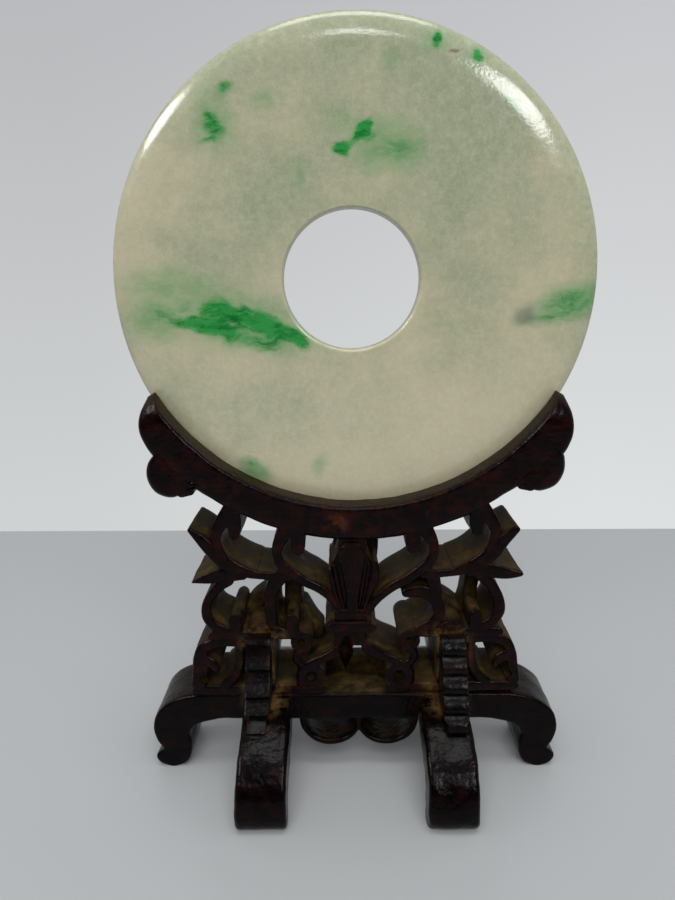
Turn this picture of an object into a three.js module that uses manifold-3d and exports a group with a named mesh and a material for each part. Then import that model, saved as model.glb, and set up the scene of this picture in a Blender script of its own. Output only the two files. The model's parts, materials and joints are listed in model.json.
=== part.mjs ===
// A jade bi disc that rests upright in a carved hardwood stand.
// Millimetres, +Z up. The origin is on the floor under the middle of the stand, and -Y is the front.
import * as THREE from "three";
import { mergeVertices } from "three/addons/utils/BufferGeometryUtils.js";
import Module from "manifold-3d";

const wasm = await Module();
wasm.setup();

// The disc
const DISC_RADIUS = 55;
const HOLE_RADIUS = 15.55;
const HOLE_X = -0.8; // the hole was drilled a little left of the disc's middle
const DISC_THICKNESS = 5.5;
const RIM_ROUNDING = 7; // how far in from the rim the faces begin to fall away
const HOLE_EASING = 0.6;
const DISC_SIDES = 72;
const DISC_HEIGHT = 121; // from the floor to the middle of the hole
const GAP = 0.3; // between pieces that touch

// The crescent cradle: a band between two arcs about the disc's centre
const LIP_RADIUS = 51.4; // at the bottom; it grows towards the tips
const LIP_SPREAD = 1.4;
const CRADLE_RADIUS = 60;
const CRADLE_DEPTH = 18;
const CRADLE_EASING = 1;
const HORN_ANGLE = 61.5; // degrees from straight down to the horn's tip
const BAND_ANGLE = 37.5; // degrees from straight down to the hooked notch behind the lobe

// The openwork, the beam and the feet
const PANEL_DEPTH = 16.8;
const BEAM_TOP = 20.5;
const BEAM_BOTTOM = 13.5;
const PALMETTE_X = -0.8; // the carver set the palmette a little left of the middle
const CARVING_TILT = 0.016; // and the right-hand carving a little higher than the left
const APRON_X = 0.9;
const APRON_LOBE = { spacing: 7, half: 7.9, drop: 7.3, wall: 1 };
const CROSS_FOOT_X = 21.7;
const CROSS_FOOT_WIDTH = 11.4;
const LAP_HEIGHT = 17; // the beam and a cross foot are halved together up to here
const FOOT_EASING = 0.9;
const BRACKET_X = 23.6;
const BRACKET_WIDTH = 6;
const BRACKET_TOP = 37.5;
const BRACKET_EASING = 0.3;
const TONGUE_WIDTH = 4.6; // the bracket's lowest lobe is narrower

const FACE = PANEL_DEPTH / 2;
const PAST = 60; // far enough for a cutting block to pass the piece that it cuts
const STRAP_STEP = 1.9; // length of one facet along a curved strap
const LEFT = -1;
const RIGHT = 1;
const SIDES = [LEFT, RIGHT];

// ---- helpers -------------------------------------------------------------------------------------

// A closed geometry as a solid that can be joined and cut.
function solid(geometry) {
  const bare = geometry.clone();
  bare.deleteAttribute("normal");
  bare.deleteAttribute("uv");
  const merged = mergeVertices(bare, 1e-4);
  return new wasm.Manifold(
    new wasm.Mesh({
      numProp: 3,
      vertProperties: new Float32Array(merged.attributes.position.array),
      triVerts: new Uint32Array(merged.index.array),
    }),
  );
}

function join(solids) {
  return solids.reduce((whole, piece) => whole.add(piece));
}

// A solid as a named mesh in one of the two materials.
function part(name, body, material) {
  const { numProp, vertProperties, triVerts } = body.getMesh();
  const positions = new Float32Array((vertProperties.length / numProp) * 3);
  for (let i = 0; i < positions.length / 3; i++) {
    positions.set(vertProperties.subarray(i * numProp, i * numProp + 3), i * 3);
  }
  const geometry = new THREE.BufferGeometry();
  geometry.setAttribute("position", new THREE.BufferAttribute(positions, 3));
  geometry.setIndex(new THREE.BufferAttribute(triVerts, 1));
  geometry.computeVertexNormals();
  const mesh = new THREE.Mesh(geometry, material);
  mesh.name = name;
  return mesh;
}

const points = (list) => list.map(([a, b]) => new THREE.Vector2(a, b));

// A smooth line through a few points, given and returned as [a, b] pairs.
function smooth(list, steps = 2) {
  const curve = new THREE.SplineCurve(points(list));
  return curve.getPoints(steps * (list.length - 1)).map((p) => [p.x, p.y]);
}

const extrudeOptions = (depth, easing) => ({
  depth: depth - 2 * easing,
  bevelEnabled: easing > 0,
  bevelThickness: easing,
  bevelSize: easing,
  bevelOffset: -easing,
  bevelSegments: 1,
  curveSegments: 8,
});

// A front outline in X and Z, as deep as depth about the plane Y = y.
function frontSlab(shape, depth, easing = 0, y = 0) {
  const geometry = new THREE.ExtrudeGeometry(shape, extrudeOptions(depth, easing));
  geometry.translate(0, 0, easing - depth / 2);
  geometry.rotateX(Math.PI / 2);
  geometry.translate(0, y, 0);
  return solid(geometry);
}

// A side outline in Y and Z, as wide as width about the plane X = x.
function sideSlab(shape, width, easing, x) {
  const geometry = new THREE.ExtrudeGeometry(shape, extrudeOptions(width, easing));
  geometry.translate(0, 0, easing - width / 2);
  const turn = new THREE.Matrix4().makeBasis(
    new THREE.Vector3(0, 1, 0),
    new THREE.Vector3(0, 0, 1),
    new THREE.Vector3(1, 0, 0),
  );
  geometry.applyMatrix4(turn);
  geometry.translate(x, 0, 0);
  return solid(geometry);
}

function block(x0, x1, y0, y1, z0, z1) {
  const geometry = new THREE.BoxGeometry(x1 - x0, y1 - y0, z1 - z0);
  geometry.translate((x0 + x1) / 2, (y0 + y1) / 2, (z0 + z1) / 2);
  return solid(geometry);
}

// ---- the disc --------------------------------------------------------------------------------------

// Half of the section: from the eased edge of the hole across the flat face, then down a quarter
// ellipse to the rim.
function discSection() {
  const half = DISC_THICKNESS / 2;
  const face = [[HOLE_RADIUS, half - HOLE_EASING], [HOLE_RADIUS + HOLE_EASING, half]];
  const start = DISC_RADIUS - RIM_ROUNDING;
  const steps = 5;
  for (let i = 0; i <= steps; i++) {
    const turn = (Math.PI / 2) * (i / steps);
    face.push([start + RIM_ROUNDING * Math.sin(turn), half * Math.cos(turn)]);
  }
  return face;
}

function jadeDisc() {
  const front = discSection();
  const back = front.slice(0, -1).map(([r, y]) => [r, -y]);
  const section = [...back, ...front.reverse()];
  const geometry = new THREE.LatheGeometry(points([...section, section[0]]), DISC_SIDES);
  const place = geometry.attributes.position;
  for (let i = 0; i < place.count; i++) {
    const atHole = Math.hypot(place.getX(i), place.getZ(i)) < DISC_RADIUS / 2;
    if (atHole) place.setX(i, place.getX(i) + HOLE_X);
  }
  const body = solid(geometry);
  return body.translate([0, 0, DISC_HEIGHT]);
}

// The space that the cradle leaves for the disc.
function discGroove() {
  const radius = DISC_RADIUS + GAP;
  const geometry = new THREE.CylinderGeometry(radius, radius, DISC_THICKNESS + 2 * GAP, DISC_SIDES);
  geometry.translate(0, 0, DISC_HEIGHT);
  return solid(geometry);
}

// ---- the crescent cradle ---------------------------------------------------------------------------

// A point at an angle from straight down, about the disc's centre.
function onArc(radius, degrees) {
  const turn = THREE.MathUtils.degToRad(degrees);
  return [radius * Math.sin(turn), DISC_HEIGHT - radius * Math.cos(turn)];
}

function arc(radius, from, to, steps) {
  const step = (to - from) / steps;
  return Array.from({ length: steps + 1 }, (_, i) => onArc(radius, from + i * step));
}

// The lip's edge, from the left tip to the right one, opening out a little towards both.
function lipEdge() {
  const steps = 32;
  return Array.from({ length: steps + 1 }, (_, i) => {
    const share = (2 * i) / steps - 1;
    return onArc(LIP_RADIUS + LIP_SPREAD * share ** 2, HORN_ANGLE * share);
  });
}

const tilted = ([x, z]) => [x, z + CARVING_TILT * x];

// The horn and the round lobe under it, from the tip down to the hooked notch.
const HORN = [[47.6, 95.6], [49.2, 92], [49.2, 87.4], [46.9, 82.2]];
const HORN_LOBE = [[48.2, 80], [48.3, 76.2], [46, 73.2], [43.2, 72.4], [40.6, 73.6], [39, 75]];

function hornEnd(side) {
  return [...smooth(HORN), ...smooth(HORN_LOBE)].map(([out, z]) => tilted([side * out, z]));
}

function cradle() {
  const outline = [
    ...lipEdge(),
    ...hornEnd(RIGHT),
    ...arc(CRADLE_RADIUS, BAND_ANGLE, -BAND_ANGLE, 18),
    ...hornEnd(LEFT).reverse(),
  ];
  const crescent = frontSlab(new THREE.Shape(points(outline)), CRADLE_DEPTH, CRADLE_EASING);
  return crescent.subtract(discGroove());
}

// ---- the pierced scrollwork ------------------------------------------------------------------------

// The two points that round off a strap's end, from one edge of it to the other.
function roundEnd(end, across, along) {
  const reach = 0.8 * across.length();
  return [60, 120].map((degrees) => {
    const turn = THREE.MathUtils.degToRad(degrees);
    const point = end.clone().addScaledVector(across, Math.cos(turn));
    return point.addScaledVector(along, reach * Math.sin(turn));
  });
}

// One carved strap seen from the front: a smooth centreline through [out, height, width] stations.
function strap(stations, side) {
  const middle = stations.map(([out, z]) => tilted([side * out, z]));
  const curve = new THREE.SplineCurve(points(middle));
  const spans = stations.length - 1;
  const steps = spans > 1 ? Math.round(curve.getLength() / STRAP_STEP) : 1;
  const ribs = Array.from({ length: steps + 1 }, (_, i) => {
    const place = (i / steps) * spans;
    const k = Math.min(Math.floor(place), spans - 1);
    const width = THREE.MathUtils.lerp(stations[k][2], stations[k + 1][2], place - k);
    const along = curve.getTangent(i / steps);
    const across = new THREE.Vector2(-along.y, along.x).multiplyScalar(width / 2);
    return { at: curve.getPoint(i / steps), along, across };
  });
  const first = ribs[0];
  const last = ribs[steps];
  const outline = [
    ...ribs.map(({ at, across }) => at.clone().add(across)),
    ...roundEnd(last.at, last.across, last.along),
    ...ribs.map(({ at, across }) => at.clone().sub(across)).reverse(),
    ...roundEnd(first.at, first.across.clone().negate(), first.along.clone().negate()),
  ];
  return frontSlab(new THREE.Shape(outline), PANEL_DEPTH);
}

// A round boss, or the drill for an eye.
function peg(out, z, radius, side, depth = PANEL_DEPTH) {
  const [x, up] = tilted([side * out, z]);
  const geometry = new THREE.CylinderGeometry(radius, radius, depth, 12);
  geometry.translate(x, 0, up);
  return solid(geometry);
}

// The straps of one half of the openwork, from the cradle down to the beam.
const STRAPS = {
  outerHook: [
    [29, 69, 4.6], [32.6, 64.5, 2.8], [32.8, 61, 2.2],
    [31.3, 57.5, 2.2], [28, 54.6, 2.4], [24, 53.1, 1.8],
  ],
  outerHookCurl: [[28.8, 68.5, 3.6], [28.5, 65, 3.2], [28.7, 63, 2.6]],
  upperLeaf: [
    [39, 62.6, 0.9], [36.5, 60.4, 2.6], [33.5, 57.4, 3.2],
    [30, 54.7, 2.8], [25.5, 52.9, 2], [16.5, 52, 2.2],
  ],
  lowerLeaf: [[38.8, 50.8, 0.9], [36, 51.6, 2.6], [32, 52.8, 3.6], [27, 52.8, 2.4]],
  innerHook: [[16.3, 64, 4], [18.5, 60, 2.6], [18.3, 56.5, 2.4], [16.2, 53.4, 2.6]],
  innerHookCurl: [[13.8, 64, 3.8], [13.6, 60.5, 3.4], [13.7, 59, 3]],
  innerArm: [[17.4, 55, 2.4], [13, 51.3, 2.4], [9, 49.1, 2.2], [5.5, 46.2, 2.2], [2.8, 43, 2.6]],
  sideScroll: [
    [30.5, 51.5, 2.6], [33.2, 49.5, 2.4], [35.8, 46, 2.2],
    [36.2, 42.5, 2.4], [34.5, 39.8, 2.4], [31, 38, 2.4],
  ],
  sideScrollCurl: [[29.3, 37.5, 3.4], [29.3, 41.2, 3.2]],
  ledge: [[35, 36.9, 2.4], [14.5, 36.9, 2.4]],
  blockFrame: [
    [27.5, 34.9, 2.2], [33, 35.2, 2.4], [37.2, 33.8, 2.8],
    [38.2, 31, 3.6], [38.4, 27.5, 4], [39, 24, 3.8],
  ],
  blockCurl: [[37.5, 30.4, 3], [35.6, 29.6, 2.6], [34.6, 28.2, 2]],
  blockInnerSide: [[28.6, 35, 2], [28.6, 30, 2], [29.8, 26, 2.2], [32.6, 23.2, 2.4]],
  footStrip: [[39.5, 22.1, 2.6], [8.8, 22.1, 2.6]],
  post: [[23.5, 37, 7], [23.5, 22, 7.2]],
  innerScroll: [[18.4, 52, 4], [19.7, 48, 3.2], [20.2, 43, 2.4], [20, 37.5, 2.4]],
  innerScrollCurl: [[15.4, 37, 3.4], [15.5, 41, 3]],
  stem: [[13.2, 33.5, 2.2], [14.6, 30.5, 2], [12.6, 28, 2.2]],
  lowerArm: [[3, 33, 3.2], [6.5, 31, 2.2], [10.5, 29.2, 2], [13.4, 26.6, 2.2], [13.4, 23, 2.4]],
};

// Ring-shaped curls and drilled eyes: [out, height, outer radius, eye radius].
const RINGS = [[13.2, 35, 2.7, 0.9], [10.8, 25.6, 3.3, 1.4]];
const BLOCK_EYE = [37.6, 25.4, 1.2];

// The palmette's half width at each height, from the cradle down to the collar.
const PALMETTE = [[64, 3.3], [58.5, 3.6], [54.5, 5.2], [51, 5.3], [46.5, 4.1], [42.5, 3.7]];
const COLLAR = { low: 40.1, high: 43.2, half: 4.9, proud: 0.3 };
const SLAB = { low: 37.6, high: 40.3, half: 6.3, proud: 0.8 };
const ARCH_BLOCK = { low: 32.4, high: 37.8, half: 4.1, proud: 0 };
const PETALS = [
  { x: 0, top: 58, bottom: 43, radius: 1.9, lean: 0 },
  { x: 3.1, top: 56, bottom: 43.5, radius: 1.7, lean: 9 },
  { x: -3.1, top: 56, bottom: 43.5, radius: 1.7, lean: -9 },
];
const DROP = { x: -1.8, top: 34.5, bottom: 27.7, radius: 2.2 };
const PALMETTE_EASING = 0.6;
const PETAL_SINK = 0.92; // a petal's middle lies this share of the way out to the panel's face
const DROP_SINK = 0.8;

// A many-sided spindle between two heights, for petals and the pendant drop.
function spindle(x, y, bottom, top, radius, lean = 0) {
  const length = top - bottom;
  const section = [[0, 0], [0.55, 0.25], [1, 0.6], [0.7, 0.88], [0, 1]];
  const profile = section.map(([r, t]) => [r * radius, (t - 0.5) * length]);
  const geometry = new THREE.LatheGeometry(points(profile), 8);
  geometry.rotateX(Math.PI / 2);
  geometry.rotateY(THREE.MathUtils.degToRad(lean));
  geometry.translate(x, y, (bottom + top) / 2);
  return solid(geometry);
}

function palmette() {
  const edge = smooth(PALMETTE);
  const outline = [
    ...edge.map(([z, half]) => [PALMETTE_X + half, z]),
    ...edge.map(([z, half]) => [PALMETTE_X - half, z]).reverse(),
  ];
  const depth = PANEL_DEPTH - 2 * PALMETTE_EASING;
  const core = frontSlab(new THREE.Shape(points(outline)), depth, PALMETTE_EASING);
  const petals = [-FACE, FACE].flatMap((y) =>
    PETALS.map(({ x, top, bottom, radius, lean }) =>
      spindle(PALMETTE_X + x, PETAL_SINK * y, bottom, top, radius, lean),
    ),
  );
  const blocks = [COLLAR, SLAB, ARCH_BLOCK].map(({ low, high, half, proud }) =>
    block(PALMETTE_X - half, PALMETTE_X + half, -FACE - proud, FACE + proud, low, high),
  );
  const drops = [-FACE, FACE].map((y) =>
    spindle(DROP.x, DROP_SINK * y, DROP.bottom, DROP.top, DROP.radius),
  );
  return [core, ...petals, ...blocks, ...drops];
}

function carvedPanel() {
  const halves = SIDES.flatMap((side) => [
    ...Object.values(STRAPS).map((stations) => strap(stations, side)),
    ...RINGS.map(([out, z, radius]) => peg(out, z, radius, side)),
  ]);
  const eyes = SIDES.flatMap((side) => [
    ...RINGS.map(([out, z, , eye]) => peg(out, z, eye, side, 2 * PANEL_DEPTH)),
    peg(...BLOCK_EYE, side, 2 * PANEL_DEPTH),
  ]);
  const openwork = join([...halves, ...palmette()]).subtract(join(eyes)).subtract(discGroove());
  const underside = block(-PAST, PAST, -PAST, PAST, 0, BEAM_TOP + GAP);
  return join([openwork, cradle()]).subtract(underside);
}

// ---- the beam with its side feet and apron -----------------------------------------------------------

const SHOULDER = [
  [39, 20.5], [45.2, 18.9], [49.8, 15.4], [51.2, 11],
  [50.4, 7.2], [49.2, 5], [50.8, 2.6], [49.4, 0.4],
];
const BEAM_EASING = 0.6;
const INSTEP = [[44, 0], [42.2, 2.6], [41.7, 6], [42.1, 9.4], [39.8, 12], [35, 13.3]];

// The scrolled foot at one end of the beam, from its shoulder round to the underside.
function sideFoot(side) {
  const outer = smooth(SHOULDER);
  const inner = smooth(INSTEP);
  return [...outer, [48.2, 0], ...inner].map(([out, z]) => [side * out, z]);
}

// Part of a half ellipse hanging under the beam, from its left end to its right one.
function lobe(middle, half, drop, top, from = 0, to = Math.PI) {
  return Array.from({ length: 11 }, (_, i) => {
    const turn = THREE.MathUtils.lerp(from, to, i / 10);
    return [middle - half * Math.cos(turn), top - drop * Math.sin(turn)];
  });
}

function baseBeam() {
  const { spacing, half, drop, wall } = APRON_LOBE;
  const meet = Math.acos(spacing / half);
  const left = lobe(APRON_X - spacing, half, drop, BEAM_BOTTOM, 0, Math.PI - meet);
  const right = lobe(APRON_X + spacing, half, drop, BEAM_BOTTOM, meet);
  const outline = [...sideFoot(LEFT), ...left, ...right.slice(1), ...sideFoot(RIGHT).reverse()];
  const openings = SIDES.map((side) => {
    const edge = lobe(APRON_X + side * spacing, half - 2 * wall, drop - wall, BEAM_BOTTOM - BEAM_EASING);
    return frontSlab(new THREE.Shape(points(edge)), 2 * PANEL_DEPTH);
  });
  const notches = SIDES.map((side) => {
    const reach = CROSS_FOOT_WIDTH / 2 + GAP;
    const x = side * CROSS_FOOT_X;
    return block(x - reach, x + reach, -PAST, PAST, 0, LAP_HEIGHT);
  });
  const beam = frontSlab(new THREE.Shape(points(outline)), PANEL_DEPTH, BEAM_EASING);
  return beam.subtract(join([...openings, ...notches]));
}

// ---- the cross feet and their brackets -----------------------------------------------------------------

const OUT_OF_BEAM = FACE + GAP; // where a cross foot or bracket meets the beam's face
const FOOT_TOP = [[8.7, 19.9], [14, 19.3], [20, 17.5], [26, 14.2], [29.8, 10], [31.3, 5.3], [31, 1.4]];
const FOOT_UNDERSIDE = [[23.2, 0], [22.6, 4], [20, 8.3], [14, 10.7], [8, 11.2]];

function crossFoot(side) {
  const quarter = [...smooth(FOOT_UNDERSIDE).reverse(), [30.2, 0], ...smooth(FOOT_TOP).reverse()];
  const saddle = LAP_HEIGHT - GAP;
  const outline = [
    ...quarter,
    [OUT_OF_BEAM, saddle],
    [-OUT_OF_BEAM, saddle],
    ...quarter.map(([y, z]) => [-y, z]).reverse(),
  ];
  return sideSlab(new THREE.Shape(points(outline)), CROSS_FOOT_WIDTH, FOOT_EASING, side * CROSS_FOOT_X);
}

// The bracket's scalloped edge, from the foot up: lobes stand out from a straight slope.
const SLOPE_LOW = { out: 20.4, height: 17.7 };
const SLOPE_HIGH = { out: 10.2, height: 36.7 };
const LOBE_SWELL = 1.3;
const LOBE_FULLNESS = 0.6; // a power under 1 makes round lobes with sharp valleys between them
const LOBE_STEPS = 4;

function scallops(count) {
  return Array.from({ length: count * LOBE_STEPS + 1 }, (_, i) => {
    const t = i / (count * LOBE_STEPS);
    const swell = i === 0 ? 0 : LOBE_SWELL * Math.abs(Math.sin(Math.PI * count * t)) ** LOBE_FULLNESS;
    return [
      THREE.MathUtils.lerp(SLOPE_LOW.out, SLOPE_HIGH.out, t) + swell,
      THREE.MathUtils.lerp(SLOPE_LOW.height, SLOPE_HIGH.height, t),
    ];
  });
}

function bracket(side, facing, count) {
  const standing = smooth(FOOT_TOP).filter(([y]) => y < SLOPE_LOW.out);
  const foot = standing.map(([y, z]) => [y, z + GAP]);
  const edge = [...foot, ...scallops(count), [OUT_OF_BEAM, BRACKET_TOP]];
  const outline = new THREE.Shape(points(edge.map(([y, z]) => [facing * y, z])));
  const whole = sideSlab(outline, BRACKET_WIDTH, BRACKET_EASING, side * BRACKET_X);
  const slim = (BRACKET_WIDTH - TONGUE_WIDTH) / 2;
  const shoulder = THREE.MathUtils.lerp(SLOPE_LOW.height, SLOPE_HIGH.height, 1 / count);
  const cheeks = SIDES.map((cheek) => {
    const x = side * BRACKET_X + cheek * (BRACKET_WIDTH / 2);
    return block(x - slim, x + slim, -PAST, PAST, 0, shoulder);
  });
  return whole.subtract(join(cheeks));
}

// ---- the whole object ------------------------------------------------------------------------------

const jade = new THREE.MeshStandardMaterial({ color: "#cbcdb8", roughness: 0.25, metalness: 0 });
const hardwood = new THREE.MeshStandardMaterial({ color: "#2c1714", roughness: 0.4, metalness: 0 });

const biDiscOnStand = new THREE.Group();
biDiscOnStand.add(
  part("jade_disc", jadeDisc(), jade),
  part("carved_panel", carvedPanel(), hardwood),
  part("base_beam", baseBeam(), hardwood),
  part("left_cross_foot", crossFoot(LEFT), hardwood),
  part("right_cross_foot", crossFoot(RIGHT), hardwood),
  part("front_left_bracket", bracket(LEFT, -1, 4), hardwood),
  part("front_right_bracket", bracket(RIGHT, -1, 5), hardwood),
  part("back_left_bracket", bracket(LEFT, 1, 4), hardwood),
  part("back_right_bracket", bracket(RIGHT, 1, 4), hardwood),
);

export default biDiscOnStand;
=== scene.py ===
# %% [markdown]
# # A jade bi disc on its carved stand
# A bi is a flat round disc of jade with a hole in the middle. This one is kept on a small
# table stand of dark hardwood: a crescent cradle, a pierced and carved panel, a beam with
# scrolled side feet, and two cross feet held by scalloped brackets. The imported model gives
# the size and place of every piece, and this lesson gives each of them its real surface.

# %% Load the frame
import json
import math

import bpy
import numpy as np
from mathutils import Matrix, Vector

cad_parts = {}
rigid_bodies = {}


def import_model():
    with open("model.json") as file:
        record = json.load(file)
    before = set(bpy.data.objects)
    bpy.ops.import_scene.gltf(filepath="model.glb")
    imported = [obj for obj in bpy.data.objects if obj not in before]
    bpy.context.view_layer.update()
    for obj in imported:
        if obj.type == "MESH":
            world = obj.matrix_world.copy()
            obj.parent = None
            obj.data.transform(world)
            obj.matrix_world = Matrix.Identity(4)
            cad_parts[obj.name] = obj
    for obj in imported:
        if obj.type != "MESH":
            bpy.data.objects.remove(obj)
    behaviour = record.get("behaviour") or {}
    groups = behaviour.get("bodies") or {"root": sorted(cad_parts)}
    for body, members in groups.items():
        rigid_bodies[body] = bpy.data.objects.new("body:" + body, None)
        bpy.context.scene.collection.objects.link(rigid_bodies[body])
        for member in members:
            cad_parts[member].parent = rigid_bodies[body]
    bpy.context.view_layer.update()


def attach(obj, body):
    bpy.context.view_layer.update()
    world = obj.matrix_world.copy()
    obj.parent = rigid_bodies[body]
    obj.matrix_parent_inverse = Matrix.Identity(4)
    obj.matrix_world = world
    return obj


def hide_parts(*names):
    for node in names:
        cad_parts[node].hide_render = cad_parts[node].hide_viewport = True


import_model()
MM = 0.001  # the shapes below are worked out in millimetres

# %% [markdown]
# ## The camera
# The disc is seen from close by, a little above its middle, as a hand-held camera sees it.
# The lens is wide, so the feet, which stand nearer, look larger than the panel behind them.

# %% Camera
CAMERA_PLACE = np.array([-3.59, -159.01, 118.41])
YAW, PITCH, ROLL = np.radians([-0.21, 13.16, -0.30])
LENS = 27.04
SENSOR = 36  # millimetres along the frame's long side

ahead = np.array([math.sin(YAW) * math.cos(PITCH), math.cos(YAW) * math.cos(PITCH), -math.sin(PITCH)])
level = np.array([math.cos(YAW), -math.sin(YAW), 0])
upright = np.cross(level, ahead)
rightward = math.cos(ROLL) * level + math.sin(ROLL) * upright
upward = -math.sin(ROLL) * level + math.cos(ROLL) * upright

camera_data = bpy.data.cameras.new("camera")
camera_data.lens = LENS
camera_data.sensor_width = SENSOR
camera_data.clip_start = 0.01
camera = bpy.data.objects.new("camera", camera_data)
bpy.context.collection.objects.link(camera)
pose = np.eye(4)
pose[:3, :3] = np.column_stack([rightward, upward, -ahead])
pose[:3, 3] = CAMERA_PLACE * MM
camera.matrix_world = Matrix(pose.tolist())
bpy.context.scene.camera = camera
print("camera at", CAMERA_PLACE, "mm, lens", LENS)

# %% [markdown]
# ## Meshes from whole arrays
# Every piece of the stand was sawn and carved from boards, so nearly every surface is a bar:
# a rounded section carried between two edges drawn on the board. One helper makes that bar.
# It is given both edges as arrays of points, and computes all its rings of vertices at once.


# %% A mesh object from arrays
def mesh_object(name, vertices, faces):
    """An object at the origin whose vertices, given in millimetres, hold its place."""
    mesh = bpy.data.meshes.new(name)
    mesh.from_pydata((np.asarray(vertices) * MM).tolist(), [], faces)
    mesh.validate()
    made = bpy.data.objects.new(name, mesh)
    bpy.context.collection.objects.link(made)
    return made


def grid_faces(rings, around, ends=True):
    """Quads between neighbouring rings, and one flat face over each end of the run."""
    ring, step = np.meshgrid(np.arange(rings - 1), np.arange(around), indexing="ij")
    here = ring * around + step
    beside = ring * around + (step + 1) % around
    quads = np.stack([here, beside, beside + around, here + around], axis=-1).reshape(-1, 4)
    faces = quads.tolist()
    if ends:
        faces.append(list(range(around))[::-1])
        faces.append(list(range((rings - 1) * around, rings * around)))
    return faces


def outward(vertices, faces):
    """The faces turned so that they point out: their signed volume must be positive."""
    first = vertices[[face[0] for face in faces]]
    second = vertices[[face[1] for face in faces]]
    third = vertices[[face[2] for face in faces]]
    fourth = vertices[[face[-1] for face in faces]]
    volume = np.einsum("ij,ij->i", first, np.cross(second, third) + np.cross(third, fourth)).sum()
    return faces if volume > 0 else [face[::-1] for face in faces]


print("a run of 3 rings with 4 points each has", len(grid_faces(3, 4)), "faces")

# %% A smooth line through stations
def spline(stations, count):
    """A cubic through the stations, whose slope at each one is half the way between its neighbours."""
    p = np.asarray(stations, float)
    spans = len(p) - 1
    place = np.linspace(0, spans, count)
    k = np.minimum(place.astype(int), spans - 1)
    t = (place - k)[:, None]
    start, end = p[k], p[k + 1]
    leave = (end - p[np.maximum(k - 1, 0)]) / 2
    arrive = (p[np.minimum(k + 2, spans)] - start) / 2
    cubic = (2 * start - 2 * end + leave + arrive) * t**3
    square = (3 * end - 3 * start - 2 * leave - arrive) * t**2
    return cubic + square + leave * t + start


def run_length(line):
    """The sum of the steps from point to point."""
    return float(np.linalg.norm(np.diff(line, axis=0), axis=1).sum())


print("a line from 0, 0 to 3, 4 runs", run_length(spline([[0, 0], [3, 4]], 9)), "mm")

# %% The rounded section
ROUND_STEPS = 4


def section_loop(across_steps, deep_steps):
    """Points round a rounded rectangle: which corner each belongs to, and which way it leans.

    A point's place is corner * (half size - radius) + lean * radius, so that one loop fits
    every width. Corners run round the section, with straight runs between them.
    """
    corners = np.array([[1, -1], [1, 1], [-1, 1], [-1, -1]], float)
    holds, leans = [], []
    for k in range(4):
        turn = np.radians(90 * k - 90 + np.linspace(0, 90, ROUND_STEPS + 1))
        holds.append(np.repeat(corners[k][None], len(turn), axis=0))
        leans.append(np.column_stack([np.cos(turn), np.sin(turn)]))
        steps = deep_steps if k % 2 == 0 else across_steps
        share = (np.arange(1, steps) / steps)[:, None]
        holds.append(corners[k] * (1 - share) + corners[(k + 1) % 4] * share)
        leans.append(np.repeat(leans[-1][-1:], steps - 1, axis=0))
    return np.vstack(holds), np.vstack(leans)


print("a section in 4 steps across and 14 deep has", len(section_loop(4, 14)[0]), "points")


# %% The bar
def bar(name, edge_a, edge_b, near, far, rounding, axis="y", crown=0.0, across_steps=4, deep_steps=14):
    """A rounded bar between two edge lines, from depth near to depth far.

    Each ring's middle is halfway between the edges. The ring's points lie at
    middle + half_width * u + depth * v, and the crown swells both broad faces as 1 - u squared.
    Near and far are one depth each, or one for every ring.
    """
    edge_a, edge_b = np.asarray(edge_a, float), np.asarray(edge_b, float)
    hold, lean = section_loop(across_steps, deep_steps)
    middle = (edge_a + edge_b) / 2
    half = (edge_a - edge_b) / 2
    half_width = np.maximum(np.linalg.norm(half, axis=1), 1e-6)[:, None]
    near, far = np.reshape(near, (-1, 1)), np.reshape(far, (-1, 1))
    half_depth = (far - near) / 2
    radius = np.minimum(rounding, 0.95 * half_width)
    u = (hold[:, 0] * (half_width - radius) + lean[:, 0] * radius) / half_width
    v = hold[:, 1] * (half_depth - radius) + lean[:, 1] * radius
    v = v + crown * np.sign(hold[:, 1]) * np.abs(hold[:, 1]) ** 6 * (1 - u**2)
    plane = middle[:, None, :] + half[:, None, :] * u[:, :, None]
    depth = (near + far) / 2 + v
    if axis == "y":
        points = np.stack([plane[..., 0], depth, plane[..., 1]], axis=-1)
    else:
        points = np.stack([depth, plane[..., 0], plane[..., 1]], axis=-1)
    rings, around = u.shape
    vertices = points.reshape(-1, 3)
    return mesh_object(name, vertices, outward(vertices, grid_faces(rings, around)))


# %% [markdown]
# ## Joining and cutting
# The carver cut each panel from one board, so its straps aren't separate: they are one solid
# with crisp valleys where two forms meet. A boolean modifier joins the bars the same way.
# Afterwards a hand-made surface is never quite flat, so every vertex moves a little along its
# own normal by a sum of slow waves, seeded so that each run gives the same board.

# %% Fusing bars into one solid
def boolean(target, others, operation):
    """Joins the others to the target or cuts them from it, and removes them."""
    group = bpy.data.collections.new("operands")
    for other in others:
        group.objects.link(other)
    modifier = target.modifiers.new(operation.lower(), "BOOLEAN")
    modifier.operation = operation
    modifier.operand_type = "COLLECTION"
    modifier.collection = group
    modifier.solver = "MANIFOLD"
    view = bpy.context.evaluated_depsgraph_get()
    made = bpy.data.meshes.new_from_object(target.evaluated_get(view))
    target.modifiers.clear()
    target.data = made
    for other in others:
        bpy.data.objects.remove(other)
    bpy.data.collections.remove(group)
    return target


# %% Work by hand
FLOOR_REACH = 0.05  # a vertex this low, in millimetres, stands on the floor
FIRST_WAVE_SEED = 11


def arrays(mesh):
    """The mesh's vertex places and normals, in millimetres."""
    place = np.empty(len(mesh.vertices) * 3)
    normal = np.empty(len(mesh.vertices) * 3)
    mesh.vertices.foreach_get("co", place)
    mesh.vertices.foreach_get("normal", normal)
    return place.reshape(-1, 3) / MM, normal.reshape(-1, 3)


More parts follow.
